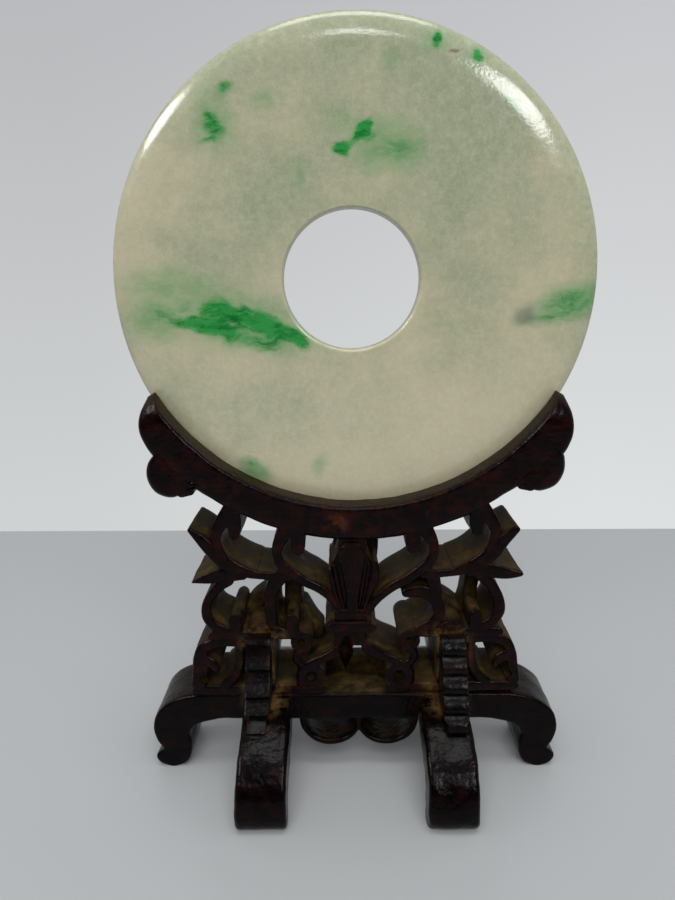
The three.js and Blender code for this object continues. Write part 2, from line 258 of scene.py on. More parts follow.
def slow_waves(place, wavelength, seed, waves=14):
    """Between about -1 and 1: the mean of sine waves in seeded directions and phases."""
    dice = np.random.default_rng(seed)
    direction = dice.normal(size=(waves, 3))
    direction /= np.linalg.norm(direction, axis=1)[:, None]
    pitch = 2 * math.pi / (wavelength * dice.uniform(0.6, 1.6, waves))
    phase = dice.uniform(0, 2 * math.pi, waves)
    return np.sin((place @ direction.T) * pitch + phase).sum(axis=1) / math.sqrt(waves)


def work_by_hand(made, amounts):
    """Moves the vertices along their normals by slow waves: pairs of amount and wavelength.

    What stands on the floor stays on it, and nothing sinks below it.
    """
    place, normal = arrays(made.data)
    moved = place.copy()
    for seed, (amount, wavelength) in enumerate(amounts):
        moved += normal * (amount * slow_waves(place, wavelength, seed + FIRST_WAVE_SEED))[:, None]
    on_floor = place[:, 2] < FLOOR_REACH
    moved[on_floor, 2] = place[on_floor, 2]
    moved[:, 2] = np.maximum(moved[:, 2], 0)
    made.data.vertices.foreach_set("co", (moved * MM).ravel())
    made.data.update()


# %% Finishing a piece
def finish_piece(made, node, material, crease=38):
    """Smooth shading up to the crease angle, the finish, and the calls that tie it to its node."""
    made.data.polygons.foreach_set("use_smooth", np.ones(len(made.data.polygons), bool))
    made.data.set_sharp_from_angle(angle=math.radians(crease))
    made.data.materials.clear()
    made.data.materials.append(material)
    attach(made, "root")
    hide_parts(node)
    triangles = sum(len(face.vertices) - 2 for face in made.data.polygons)
    print(made.name, "replaces", node, "with", triangles, "triangles")


# %% [markdown]
# ## Building a material
# A finish is a small graph of nodes. One helper adds any node with its settings and its
# inputs, and colours are written as the sRGB values that a painter would pick. A noise
# node's scale counts its cells in a metre, so 1000 stands for cells of one millimetre.


# %% Colour and node helpers
def linear(colour):
    """An sRGB hex colour as linear RGBA: each channel is undone by the sRGB curve."""
    channels = [int(colour[i : i + 2], 16) / 255 for i in (1, 3, 5)]
    return [c / 12.92 if c <= 0.04045 else ((c + 0.055) / 1.055) ** 2.4 for c in channels] + [1.0]


def new_material(name):
    material = bpy.data.materials.new(name)
    material.use_nodes = True
    material.node_tree.nodes.clear()
    return material, material.node_tree


def add(tree, kind, settings=None, inputs=None):
    """Adds a node: its settings by name, its inputs by name or number, as values or as outputs."""
    node = tree.nodes.new("ShaderNode" + kind)
    for key, value in (settings or {}).items():
        setattr(node, key, value)
    for key, value in (inputs or {}).items():
        if isinstance(value, bpy.types.NodeSocket):
            tree.links.new(value, node.inputs[key])
        else:
            node.inputs[key].default_value = value
    return node


# Settings that many nodes share.
SMOOTH = {"interpolation_type": "SMOOTHSTEP"}
COLOURS = {"data_type": "RGBA"}
VALUES = {"data_type": "FLOAT"}
TIMES = {"operation": "MULTIPLY"}
UNSIGNED = {"operation": "ABSOLUTE"}
LENGTH = {"operation": "LENGTH"}
print("linear mid grey:", round(linear("#808080")[0], 3))

# %% [markdown]
# ## Jade
# This is jadeite: a felt of tiny crystals, cut and polished with ever finer grit to a gloss
# like wet stone. Light goes a few millimetres in before it comes back, which softens every
# shade on it. The ground is a pale grey green with warm clouds, and chromium stained a few
# places emerald. Each stain is an ellipse on the disc's face, pulled about by noise.

# %% Jade stains
# [x, height above the hole's middle, half length, half height, tilt in degrees, strength]
STAINS = [
    [-33.7, -10.0, 7.2, 2.1, -8, 1.0],
    [-31.0, -6.4, 4.0, 2.6, -10, 0.6],
    [-20.6, -9.8, 9, 2.5, -22, 1.0],
    [-13.9, -12.8, 4.4, 1.9, -14, 1.0],
    [-24.0, -13.3, 11, 2.6, -12, 0.45],
    [-29.6, -8.2, 24, 7.5, -10, 0.42],
    [-46.2, -8.8, 9, 4.6, 10, 0.26],
    [-42.2, 0, 12, 3.5, 0, 0.24],
    [1.4, 31.3, 2.6, 1.7, 50, 1.3],
    [-3.0, 27.6, 1.9, 1.8, 0, 1.1],
    [-0.7, 29.2, 2.4, 1.1, 45, 0.5],
    [2.8, 29.3, 1.8, 1.4, 0, 0.3],
    [6.6, 28.1, 9, 5.8, 0, 0.44],
    [-3.0, 33.1, 4.4, 3.4, 0, 0.2],
    [10.9, 25.9, 5.5, 4.6, 0, 0.12],
    [-30.4, 32.4, 1.8, 4.0, 8, 0.55],
    [-30.8, 33, 5, 7, 10, 0.32],
    [-28.3, 39.6, 1.8, 1.6, 0, 0.65],
    [-31.8, 28.6, 2.2, 1.1, 0, 0.45],
    [-19.6, 37.0, 3.2, 2.6, 0, 0.3],
    [17.3, 48.2, 1.5, 2.2, 0, 0.7],
    [17.3, 48.2, 3.6, 3.0, 0, 0.3],
    [25.6, 45.1, 1.3, 1.2, 0, 0.9],
    [25.6, 45.1, 3.0, 2.6, 0, 0.3],
    [33.0, 36.4, 2.8, 1.0, -45, 0.45],
    [7.2, 44.6, 2.2, 2.0, 0, 0.25],
    [-12, 22.7, 1.6, 3.4, -10, 0.3],
    [49.5, -5.2, 10.5, 4.4, 14, 0.62],
    [42, -8.8, 6.5, 2.4, 10, 0.16],
    [-23.9, -43.9, 4.5, 2.6, -28, 0.7],
    [-8.6, -42.6, 2.0, 3.4, -10, 0.36],
]
# The same six values and a colour: a grey shadow in the stone, and a brown dash of iron.
SPOTS = [[38.6, -8.0, 3.2, 2.6, 0, 0.65, "#6a7668"], [21.3, 46.4, 1.5, 0.5, 25, 0.8, "#7d6244"]]
DISC_MIDDLE = 121.0  # millimetres above the floor
JADE_COOL_HEIGHT = 172  # up here the ground is coolest
JADE_WARM_HEIGHT = 70  # and down here it is warmest
STAIN_PULL = 2.4  # how far noise pulls a stain's edge about, in millimetres


# %% Where a stain lies
def stain_mask(tree, place, stain):
    """1 in the middle of an ellipse and 0 outside it, with a soft shoulder between."""
    x, z, long, high, tilt, strength = stain
    near = add(
        tree, "Mapping", {"vector_type": "TEXTURE"},
        {
            "Vector": place,
            "Location": (x * MM, 0, (DISC_MIDDLE + z) * MM),
            "Rotation": (0, -math.radians(tilt), 0),
            "Scale": (long * MM, 1, high * MM),
        },
    )
    reach = add(tree, "VectorMath", LENGTH, {0: near.outputs[0]})
    ramp = add(
        tree, "MapRange", SMOOTH,
        {"Value": reach.outputs["Value"], "From Min": 1.35, "From Max": 0.25, "To Max": strength},
    )
    return ramp.outputs[0]


# %% The green in the jade
def jade_green(tree, flat):
    """The place as noise pulls it about, how strong the green is there, and its strands."""
    # Noise with cells of 6 mm, between 0 and 1, becomes a shift of up to STAIN_PULL either way.
    pull = add(tree, "TexNoise", None, {"Vector": flat, "Scale": 170, "Detail": 3, "Roughness": 0.5})
    centred = add(
        tree, "VectorMath", {"operation": "SUBTRACT"}, {0: pull.outputs["Color"], 1: (0.5, 0.5, 0.5)}
    )
    shift = add(tree, "VectorMath", TIMES, {0: centred.outputs[0], 1: [2 * STAIN_PULL * MM] * 3})
    pulled = add(tree, "VectorMath", {"operation": "ADD"}, {0: flat, 1: shift.outputs[0]}).outputs[0]

    green = stain_mask(tree, pulled, STAINS[0])
    for stain in STAINS[1:]:
        mask = stain_mask(tree, pulled, stain)
        green = add(tree, "Math", {"operation": "ADD"}, {0: green, 1: mask}).outputs[0]

    # Strands inside the stains: noise drawn out along the streak, about 0.8 mm thick.
    drawn = add(
        tree, "Mapping", None,
        {"Vector": pulled, "Rotation": (0, math.radians(-14), 0), "Scale": (0.35, 1, 1.3)},
    )
    strands = add(
        tree, "TexNoise", None, {"Vector": drawn.outputs[0], "Scale": 520, "Detail": 4, "Roughness": 0.65}
    )
    uneven = add(
        tree, "MapRange", None,
        {"Value": strands.outputs[0], "From Min": 0.34, "From Max": 0.62, "To Min": 0.68, "To Max": 1.1},
    )
    stained = add(
        tree, "Math", {"operation": "MULTIPLY", "use_clamp": True}, {0: green, 1: uneven.outputs[0]}
    )
    return pulled, stained.outputs[0], strands.outputs[0]


# %% The ground of the jade
def jade_ground(tree, place, flat):
    """The colour where no stain lies, and the felt of crystals that flecks it."""
    # Cool above, warmer and paler below, in clouds of 20 to 40 millimetres.
    clouds = add(tree, "TexNoise", None, {"Vector": flat, "Scale": 30, "Detail": 4, "Roughness": 0.6})
    height = add(tree, "SeparateXYZ", None, {0: place}).outputs[2]
    lowness = add(
        tree, "MapRange", None,
        {
            "Value": height,
            "From Min": JADE_COOL_HEIGHT * MM,
            "From Max": JADE_WARM_HEIGHT * MM,
            "To Min": -0.14,
            "To Max": 0.12,
        },
    )
    sloped = add(tree, "Math", {"operation": "ADD"}, {0: clouds.outputs[0], 1: lowness.outputs[0]})
    warm = add(tree, "MapRange", SMOOTH, {"Value": sloped.outputs[0], "From Min": 0.3, "From Max": 0.68})
    ground = add(tree, "Mix", COLOURS, {0: warm.outputs[0], 6: linear("#9fa689"), 7: linear("#c5bda0")})

    # Crystal felt: pale flecks of about a millimetre, and thinner grey ones between them.
    felt = add(tree, "TexNoise", None, {"Vector": flat, "Scale": 800, "Detail": 5, "Roughness": 0.75})
    fleck = add(
        tree, "MapRange", None,
        {"Value": felt.outputs[0], "From Min": 0.4, "From Max": 0.72, "To Max": 0.38},
    )
    pale = add(tree, "Mix", COLOURS, {0: fleck.outputs[0], 6: ground.outputs[2], 7: linear("#d6d5c0")})
    return pale.outputs[2], felt.outputs[0]


# %% Jade
def jade_material():
    """Polished jadeite: its index of refraction is 1.66, set to 1.6 because fine haze softens the gloss."""
    material, tree = new_material("polished jadeite")
    place = add(tree, "TexCoord").outputs["Object"]
    flat = add(tree, "VectorMath", TIMES, {0: place, 1: (1, 0.25, 1)}).outputs[0]
    pulled, stained, strands = jade_green(tree, flat)
    ground, felt = jade_ground(tree, place, flat)

    # A thin stain only veils the ground; a thick one turns emerald, darkest along its strands.
    veil = add(tree, "MapRange", None, {"Value": stained, "From Max": 0.6, "To Max": 0.85})
    veiled = add(tree, "Mix", COLOURS, {0: veil.outputs[0], 6: ground, 7: linear("#69a068")})
    thread = add(tree, "MapRange", None, {"Value": strands, "From Min": 0.46, "From Max": 0.66})
    emerald = add(tree, "Mix", COLOURS, {0: thread.outputs[0], 6: linear("#35984a"), 7: linear("#11712d")})
    deep = add(tree, "MapRange", SMOOTH, {"Value": stained, "From Min": 0.4, "From Max": 0.95})
    coloured = add(tree, "Mix", COLOURS, {0: deep.outputs[0], 6: veiled.outputs[2], 7: emerald.outputs[2]})
    colour = coloured.outputs[2]
    for *spot, tint in SPOTS:
        mask = stain_mask(tree, pulled, spot)
        colour = add(tree, "Mix", COLOURS, {0: mask, 6: colour, 7: linear(tint)}).outputs[2]

    # Polished pits, about 0.7 mm apart: each crystal stands a hair's breadth higher or lower.
    pits = add(tree, "TexNoise", None, {"Vector": place, "Scale": 1500, "Detail": 2})
    bump = add(tree, "Bump", None, {"Height": pits.outputs[0], "Strength": 0.12, "Distance": 0.0003})
    haze = add(
        tree, "MapRange", None,
        {"Value": felt, "From Min": 0.3, "From Max": 0.7, "To Min": 0.1, "To Max": 0.16},
    )
    shader = add(
        tree, "BsdfPrincipled", None,
        {
            "Base Color": colour,
            "Roughness": haze.outputs[0],
            "IOR": 1.6,
            "Subsurface Weight": 0.6,
            "Subsurface Radius": (1.0, 0.95, 0.7),
            "Subsurface Scale": 0.0016,
            "Normal": bump.outputs[0],
        },
    )
    add(tree, "OutputMaterial", None, {"Surface": shader.outputs[0]})
    return material


jade = jade_material()
print("jade:", len(STAINS), "stains,", len(jade.node_tree.nodes), "nodes")

# %% [markdown]
# ## Dark hardwood
# The stand is a close-grained red hardwood, stained almost black, oiled and rubbed by hand.
# Rubbing only reaches the front and the outside. The sawn walls inside the openwork keep
# their saw marks and hold olive-brown dust, which lies thickest on what faces up. Old wax has
# gone yellow round the brackets. Where dust and wax lie follows from which way the surface
# faces and where it is, so one function gives the stand's four finishes.

# %% Bare wood
# Placed as the jade's stains are: a worn orange patch, a black knot, its hole, which isn't cut but painted as
# a spot of shade, and its pale edge.
WOOD_MARKS_AND_HOLE_SHADE = [
    [-4.8, -55.7, 3.0, 2.6, 0, 0.8, "#5c3113"],
    [12.6, -54.0, 3.4, 2.6, 0, 0.9, "#040203"],
    # The knot's hole is painted shade: a near-black spot, not a cut.
    [12.1, -51.8, 0.8, 0.7, 0, 1.0, "#010101"],
    [15.5, -53.0, 1.8, 1.2, 30, 0.6, "#4c2a14"],
]


def bare_wood(tree, place, black, red):
    """The colour under the dust, and the mottle that its gloss follows too."""
    # Mottled stain, in cells of 4 mm: red where rubbing has thinned it, black where it pooled.
    mottle = add(tree, "TexNoise", None, {"Vector": place, "Scale": 230, "Detail": 6, "Roughness": 0.65})
    red_share = add(tree, "MapRange", SMOOTH, {"Value": mottle.outputs[0], "From Min": 0.4, "From Max": 0.72})
    wood = add(tree, "Mix", COLOURS, {0: red_share.outputs[0], 6: linear(black), 7: linear(red)})

    # Grain: fine dark lines along the boards, each about 0.7 mm wide.
    along = add(tree, "Mapping", None, {"Vector": place, "Scale": (0.12, 1, 1)})
    grain = add(tree, "TexNoise", None, {"Vector": along.outputs[0], "Scale": 700, "Detail": 3})
    lines = add(
        tree, "MapRange", None,
        {"Value": grain.outputs[0], "From Min": 0.35, "From Max": 0.65, "To Min": 0.6, "To Max": 1.15},
    )
    grained = add(
        tree, "Mix", {"data_type": "RGBA", "blend_type": "MULTIPLY"},
        {0: 1.0, 6: wood.outputs[2], 7: lines.outputs[0]},
    )

    bare = grained.outputs[2]
    for *mark, tint in WOOD_MARKS_AND_HOLE_SHADE:
        mask = stain_mask(tree, place, mark)
        ragged = add(tree, "Math", TIMES, {0: mask, 1: red_share.outputs[0]}).outputs[0]
        bare = add(tree, "Mix", COLOURS, {0: ragged, 6: bare, 7: linear(tint)}).outputs[2]
    return bare, mottle.outputs[0]


# %% Where dust lies
# In millimetres. Each pair is where one state ends and where the other is full.
DUST_BEGINS, DUST_IS_FULL = 7.6, 6.0  # depth from the middle, on a face that looks forward
WIPED_EDGE, UNWIPED = 8.8, 5.8  # depth from the middle, on every face
OPENWORK_TOP, CRESCENT_FOOT = 62, 70  # height
APRON_TOP, BEAM_FOOT = 12.8, 14.0  # height
DUST_FADE = 3.0  # how softly the dust ends beside the middle


def dust_and_beam_shade_share(tree, facing, across, depth, height, patches, dust_reach, shelter):
    """A product: what can hold dust, times each thing that limits it there. Less dust under the beam also
    paints shade there.
    """
    # None on what faces front or back, save deep in the openwork, and most on what faces up.
    turned = add(tree, "Math", UNSIGNED, {0: facing.outputs[1]})
    sidelong = add(tree, "MapRange", SMOOTH, {"Value": turned.outputs[0], "From Min": 0.8, "From Max": 0.3})
    deep = add(
        tree, "MapRange", SMOOTH,
        {"Value": depth, "From Min": DUST_BEGINS * MM, "From Max": DUST_IS_FULL * MM},
    )
    holds = add(tree, "Math", {"operation": "MAXIMUM"}, {0: sidelong.outputs[0], 1: deep.outputs[0]})
    lying = add(
        tree, "MapRange", None,
        {"Value": facing.outputs[2], "From Min": -0.9, "From Max": 0.5, "To Min": 0.35},
    )
    # Cloths wipe the front and back edges clean.
    sheltered = add(
        tree, "MapRange", SMOOTH,
        {"Value": depth, "From Min": WIPED_EDGE * MM, "From Max": UNWIPED * MM, "To Min": 0.1},
    )
    # Hands reach round the crescent, so less dust stays above the openwork.
    handled = add(
        tree, "MapRange", None,
        {
            "Value": height,
            "From Min": OPENWORK_TOP * MM,
            "From Max": CRESCENT_FOOT * MM,
            "To Min": dust_reach,
            "To Max": 0.25 * dust_reach,
        },
    )
    # They reach the outside too, further from the middle than shelter.
    central = add(
        tree, "MapRange", SMOOTH,
        {
            "Value": across,
            "From Min": (shelter + DUST_FADE) * MM,
            "From Max": shelter * MM,
            "To Min": 0.1,
        },
    )
    # The apron hangs under the beam, where little dust falls; taking its dust away also paints the shade
    # under the beam, so it shows darker.
    less_dust_and_shade_under_beam = add(
        tree, "MapRange", None,
        {"Value": height, "From Min": APRON_TOP * MM, "From Max": BEAM_FOOT * MM, "To Min": 0.15},
    )
    share = holds.outputs[0]
    for limit in (lying, patches, sheltered, handled, central, less_dust_and_shade_under_beam):
        share = add(tree, "Math", TIMES, {0: share, 1: limit.outputs[0]}).outputs[0]
    return share


# %% Where old wax stands
# In millimetres: a soft upright column beside each bracket, front and back.
WAX_ASIDE = 22.5  # from the stand's middle
WAX_DEPTH = 10.0  # from the board's middle
WAX_EDGE, WAX_IS_FULL = 7.5, 3.0  # distance from the column's own middle
WAX_TOP, WAX_FULL_HEIGHT = 41, 36
WAX_STRENGTH = 0.75


def wax_share(tree, across, depth, height, patchy):
    """A product: the column's round shape, times crumbs of noise, times its top's fade."""
    aside = add(tree, "Math", {"operation": "SUBTRACT"}, {0: across, 1: WAX_ASIDE * MM})
    proud = add(tree, "Math", {"operation": "SUBTRACT"}, {0: depth, 1: WAX_DEPTH * MM})
    flat = add(tree, "CombineXYZ", None, {0: aside.outputs[0], 1: proud.outputs[0]})
    reach = add(tree, "VectorMath", LENGTH, {0: flat.outputs[0]})
    column = add(
        tree, "MapRange", SMOOTH,
        {"Value": reach.outputs["Value"], "From Min": WAX_EDGE * MM, "From Max": WAX_IS_FULL * MM},
    )
    crumbs = add(tree, "MapRange", None, {"Value": patchy, "From Min": 0.42, "From Max": 0.6})
    low = add(
        tree, "MapRange", SMOOTH,
        {"Value": height, "From Min": WAX_TOP * MM, "From Max": WAX_FULL_HEIGHT * MM},
    )
    share = column.outputs[0]
    for limit in (crumbs.outputs[0], low.outputs[0], WAX_STRENGTH):
        share = add(tree, "Math", TIMES, {0: share, 1: limit}).outputs[0]
    return share


# %% The hardwood's finishes
def wood_material(name, black, red, dust_reach, shelter, residue):
    """Oiled dark hardwood, index of refraction 1.5, mottled between black and red.

    dust_reach is the dust's greatest share. It lies no further from the stand's middle than shelter,
    in millimetres. With residue, old wax stands beside the brackets.
    """
    material, tree = new_material(name)
    place = add(tree, "TexCoord").outputs["Object"]
    facing = add(tree, "SeparateXYZ", None, {0: add(tree, "NewGeometry").outputs["Normal"]})
    where = add(tree, "SeparateXYZ", None, {0: place})
    across = add(tree, "Math", UNSIGNED, {0: where.outputs[0]}).outputs[0]
    depth = add(tree, "Math", UNSIGNED, {0: where.outputs[1]}).outputs[0]
    height = where.outputs[2]
    bare, mottle = bare_wood(tree, place, black, red)

    # Dust gathers in patches of 4 mm, and is palest where it is thick.
    patchy = add(tree, "TexNoise", None, {"Vector": place, "Scale": 240, "Detail": 6, "Roughness": 0.7})
    patches = add(
        tree, "MapRange", None,
        {"Value": patchy.outputs[0], "From Min": 0.34, "From Max": 0.62, "To Min": 0.3},
    )
    dust_and_beam_shade = dust_and_beam_shade_share(tree, facing, across, depth, height, patches, dust_reach, shelter)
    tone = add(tree, "Mix", COLOURS, {0: patches.outputs[0], 6: linear("#1c160d"), 7: linear("#524222")})
    coloured = add(tree, "Mix", COLOURS, {0: dust_and_beam_shade, 6: bare, 7: tone.outputs[2]}).outputs[2]
    if residue:
        wax = wax_share(tree, across, depth, height, patchy.outputs[0])
        coloured = add(tree, "Mix", COLOURS, {0: wax, 6: coloured, 7: linear("#6e5330")}).outputs[2]

    # Saw marks of 0.9 mm run through the board, so their noise is drawn out along Y. Where dust
    # lies they and its patches raise the surface, and elsewhere pores of about a millimetre do.
    through = add(tree, "Mapping", None, {"Vector": place, "Scale": (1, 0.1, 1)})
    saw = add(tree, "TexNoise", None, {"Vector": through.outputs[0], "Scale": 1100, "Detail": 2})
    pores = add(tree, "TexNoise", None, {"Vector": place, "Scale": 900, "Detail": 4})
    rough = add(tree, "Math", {"operation": "ADD"}, {0: saw.outputs[0], 1: patchy.outputs[0]})
    relief = add(tree, "Mix", VALUES, {0: dust_and_beam_shade, 2: pores.outputs[0], 3: rough.outputs[0]})
    bump = add(tree, "Bump", None, {"Height": relief.outputs[0], "Strength": 0.4, "Distance": 0.0004})
    gloss = add(
        tree, "MapRange", None,
        {"Value": mottle, "From Min": 0.3, "From Max": 0.7, "To Min": 0.15, "To Max": 0.28},
    )
    roughness = add(tree, "Mix", VALUES, {0: dust_and_beam_shade, 2: gloss.outputs[0], 3: 0.92})
    shader = add(
        tree, "BsdfPrincipled", None,
        {
            "Base Color": coloured,
            "Roughness": roughness.outputs[0],
            "IOR": 1.5,
            "Specular IOR Level": 0.11,
            "Normal": bump.outputs[0],
        },
    )
    add(tree, "OutputMaterial", None, {"Surface": shader.outputs[0]})
    return material


carved_wood = wood_material("oiled hardwood, dusty openwork", "#080203", "#250805", 1.0, 1000, True)
beam_wood = wood_material("oiled hardwood, dusty in the middle", "#040203", "#160504", 1.0, 18, True)
rubbed_wood = wood_material("oiled hardwood, rubbed smooth", "#040203", "#160504", 0.1, 1000, True)
black_wood = wood_material("oiled hardwood, black and polished", "#080709", "#170c0b", 0.3, 1000, False)
print("hardwood:", len(carved_wood.node_tree.nodes), "nodes in the fullest of four finishes")

# %% [markdown]
# ## The disc
# A bi was sawn as a slice, drilled, and ground round. Its faces are nearly flat, its rim is a
# long soft quarter ellipse, and the edge of the hole is only just eased. It is a surface of
# revolution: one half section turned about the disc's axis, all its points in one array.

# %% The disc
DISC_RADIUS = 55.0
HOLE_RADIUS = 15.55
HOLE_X = -0.8  # the hole was drilled a little left of the disc's middle
DISC_THICKNESS = 5.5
RIM_ROUNDING = 7.0
HOLE_EASING = 0.6
DISC_SIDES = 288


def disc_section():
    """[radius, depth] round the whole section: hole wall, front face, rim, back face."""
    half = DISC_THICKNESS / 2
    turn = np.linspace(0, math.pi / 2, 7)
    easing = np.column_stack(
        [HOLE_RADIUS + HOLE_EASING * (1 - np.cos(turn)), half - HOLE_EASING * (1 - np.sin(turn))]
    )
    flat = np.linspace(HOLE_RADIUS + HOLE_EASING, DISC_RADIUS - RIM_ROUNDING, 26)[1:-1]
    face = np.column_stack([flat, np.full(len(flat), half)])
    turn = np.linspace(0, math.pi / 2, 21)
    rim = np.column_stack([DISC_RADIUS - RIM_ROUNDING * (1 - np.sin(turn)), half * np.cos(turn)])
    front = np.vstack([easing, face, rim])
    return np.vstack([front * [1, -1], (front * [1, 1])[-2::-1]])


def jade_disc():
    """x = radius * sin(angle), y = depth, z = middle - radius * cos(angle).

    The hole's offset fades out over the flat face, so that the rim stays round.
    """
    section = disc_section()
    angle = np.linspace(0, 2 * math.pi, DISC_SIDES, endpoint=False)
    radius, depth = section[:, 0], section[:, 1]
    near_hole = 1 - np.clip((radius - HOLE_RADIUS - HOLE_EASING) / (DISC_RADIUS / 2), 0, 1)
    x = np.sin(angle)[:, None] * radius + HOLE_X * near_hole
    z = DISC_MIDDLE - np.cos(angle)[:, None] * radius
    y = np.broadcast_to(depth, x.shape)
    vertices = np.stack([x, y, z], axis=-1).reshape(-1, 3)
    around = len(section)
    faces = np.array(grid_faces(DISC_SIDES + 1, around, ends=False)) % len(vertices)
    return mesh_object("polished_jade_disc", vertices, outward(vertices, faces.tolist()))


disc = jade_disc()
finish_piece(disc, "jade_disc", jade, crease=60)

# %% [markdown]
# ## The crescent cradle
# The cradle is a crescent moon lying on its back. Its section has the same form all along, and
# shrinks into the tips: an inner slope that falls to the disc, a crisp ridge, then one long
# convex front that rolls under.
# The section is carried round the disc's centre, and its outer edge follows the horns.

# %% The crescent
LIP_RADIUS = 51.4
LIP_SPREAD = 1.4
HORN_ANGLE = 61.6
CRADLE_HALF = 9.0
GAP = 0.3
# The crescent's outer edge: [degrees from straight down, radius].
OUTER_EDGE = np.array(
    [[0, 60], [34, 60], [40, 60.4], [46, 61.2], [51, 61.2], [55.7, 60.2], [59, 58], [61, 55.6], [61.6, 53.8]]
)
RIGHT_HORN_SWELL = 0.9  # the right horn is a little fuller than the left
TIP_LENGTH = 8.0  # degrees over which a horn's tip is rounded off
# The front half of the section: [depth as a share, place from lip to outer edge].
CRADLE_SECTION = [
    [-0.3, 0.0], [-0.7, 0.01], [-0.9, 0.03], [-0.98, 0.07], [-1.0, 0.14], [-1.0, 0.28],
    [-1.0, 0.5], [-0.985, 0.74], [-0.94, 0.9], [-0.84, 0.985], [-0.6, 1.03], [-0.3, 1.04],
]


def crescent():
    """Rings at even angles; each ring is the section scaled between the lip and the outer edge."""
    angle = np.linspace(-HORN_ANGLE, HORN_ANGLE, 241)
    share = angle / HORN_ANGLE
    lip = LIP_RADIUS + LIP_SPREAD * share**2
    outer = np.interp(np.abs(angle), OUTER_EDGE[:, 0], OUTER_EDGE[:, 1])
    outer = outer + RIGHT_HORN_SWELL * np.exp(-(((angle - 51) / 6) ** 2))
    smooth_outer = np.convolve(np.pad(outer, 3, mode="edge"), np.ones(7) / 7, mode="valid")
    into_tip = np.clip((np.abs(angle) - HORN_ANGLE + TIP_LENGTH) / TIP_LENGTH, 0, 1)
    half_depth = CRADLE_HALF * np.sqrt(1 - 0.8 * into_tip**2.5)
    front = spline(CRADLE_SECTION, 34)
    section = np.vstack([front, (front * [-1, 1])[::-1]])
    radius = lip[:, None] + (smooth_outer - lip)[:, None] * section[:, 1]
    turn = np.radians(angle)[:, None]
    x = radius * np.sin(turn)
    z = DISC_MIDDLE - radius * np.cos(turn)
    y = half_depth[:, None] * section[:, 0]
    vertices = np.stack([x, y, z], axis=-1).reshape(-1, 3)
    return mesh_object("crescent", vertices, outward(vertices, grid_faces(*x.shape)))


cradle = crescent()
print("crescent:", len(cradle.data.vertices), "vertices")

# %% [markdown]
# ## The straps of the openwork
# Each strap is drawn by a few stations, as a carver pencils them: how far out, how high, and
# how wide the strap is there. A smooth line through the stations is the strap's middle, and
# its two edges lie half a width to either side. Round ends close it.

# %% Straps
FACE = 8.4  # from the middle of the board to its front
CARVING_TILT = 0.016  # the right-hand carving sits a little higher than the left
STRAP_STEP = 0.45
LEFT, RIGHT = -1, 1


def leaning(x, z, tilt=CARVING_TILT):
    """A height on the leaning board: z + tilt * x."""
    return z + tilt * x


def strap(
    stations, side=1, near=-FACE, far=FACE, rounding=0.45, crown=0.12, tilt=CARVING_TILT, across_steps=4
):
    """Edges at middle + and - half a width along the line's own normal, with half-round ends."""
    count = max(8, int(run_length(np.asarray(stations, float)[:, :2]) / STRAP_STEP))
    line = spline(stations, count)
    middle = np.column_stack([side * line[:, 0], leaning(side * line[:, 0], line[:, 1], tilt)])
    along = np.gradient(middle, axis=0)
    along /= np.linalg.norm(along, axis=1)[:, None]
    width = line[:, 2]
    turn = np.radians([25, 50, 70, 84])
    first = middle[0] - along[0] * (0.45 * width[0]) * np.sin(turn)[::-1, None]
    last = middle[-1] + along[-1] * (0.45 * width[-1]) * np.sin(turn)[:, None]
    middle = np.vstack([first, middle, last])
    along = np.vstack([np.repeat(along[:1], 4, axis=0), along, np.repeat(along[-1:], 4, axis=0)])
    width = np.concatenate([width[0] * np.cos(turn)[::-1], width, width[-1] * np.cos(turn)])
    across = np.column_stack([-along[:, 1], along[:, 0]]) * (width / 2)[:, None]
    return bar("strap", middle + across, middle - across, near, far, rounding, "y", crown, across_steps)


# %% Straps that both sides share
# [out, height, width] at each station. Out is counted from the middle, so one row serves either side.
BOTH_SIDES = {
    "outer_hook": [
        [29, 69, 4.6], [32.6, 64.5, 2.8], [32.8, 61, 2.2],
        [31.3, 57.5, 2.2], [28, 54.6, 2.4], [24, 53.1, 1.8],
    ],
    "outer_hook_curl": [[28.8, 68.5, 3.6], [28.5, 65, 3.2], [28.7, 63, 2.6]],
    "inner_hook": [[16.3, 64, 4], [18.5, 60, 2.6], [18.3, 56.5, 2.4], [16.2, 53.4, 2.6]],
    "inner_hook_curl": [[13.8, 64, 3.8], [13.6, 60.5, 3.4], [13.7, 59, 3]],
    "inner_arm": [[17.4, 55, 2.4], [13, 51.3, 2.4], [9, 49.1, 2.2], [5.5, 46.2, 2.2], [2.8, 43, 2.6]],
    "side_scroll_curl": [[29.3, 37.5, 3.4], [29.3, 41.2, 3.2]],
    "ledge": [[35, 36.9, 2.4], [14.5, 36.9, 2.4]],
    "block_curl": [[37.5, 30.4, 3], [35.6, 29.6, 2.6], [34.6, 28.2, 2]],
    "block_inner_side": [[28.6, 35, 2], [28.6, 30, 2], [29.8, 26, 2.2], [32.6, 23.2, 2.4]],
    "foot_strip": [[39.5, 22.1, 2.6], [8.8, 22.1, 2.6]],
    "post": [[23.5, 37, 7], [23.5, 22, 7.2]],
    "stem": [[13.2, 33.5, 2.2], [14.6, 30.5, 2], [12.6, 28, 2.2]],
    "lower_arm": [[3, 33, 3.2], [6.5, 31, 2.2], [10.5, 29.2, 2], [13.4, 26.6, 2.2], [13.4, 23, 2.4]],
}
print(len(BOTH_SIDES), "straps on both sides")

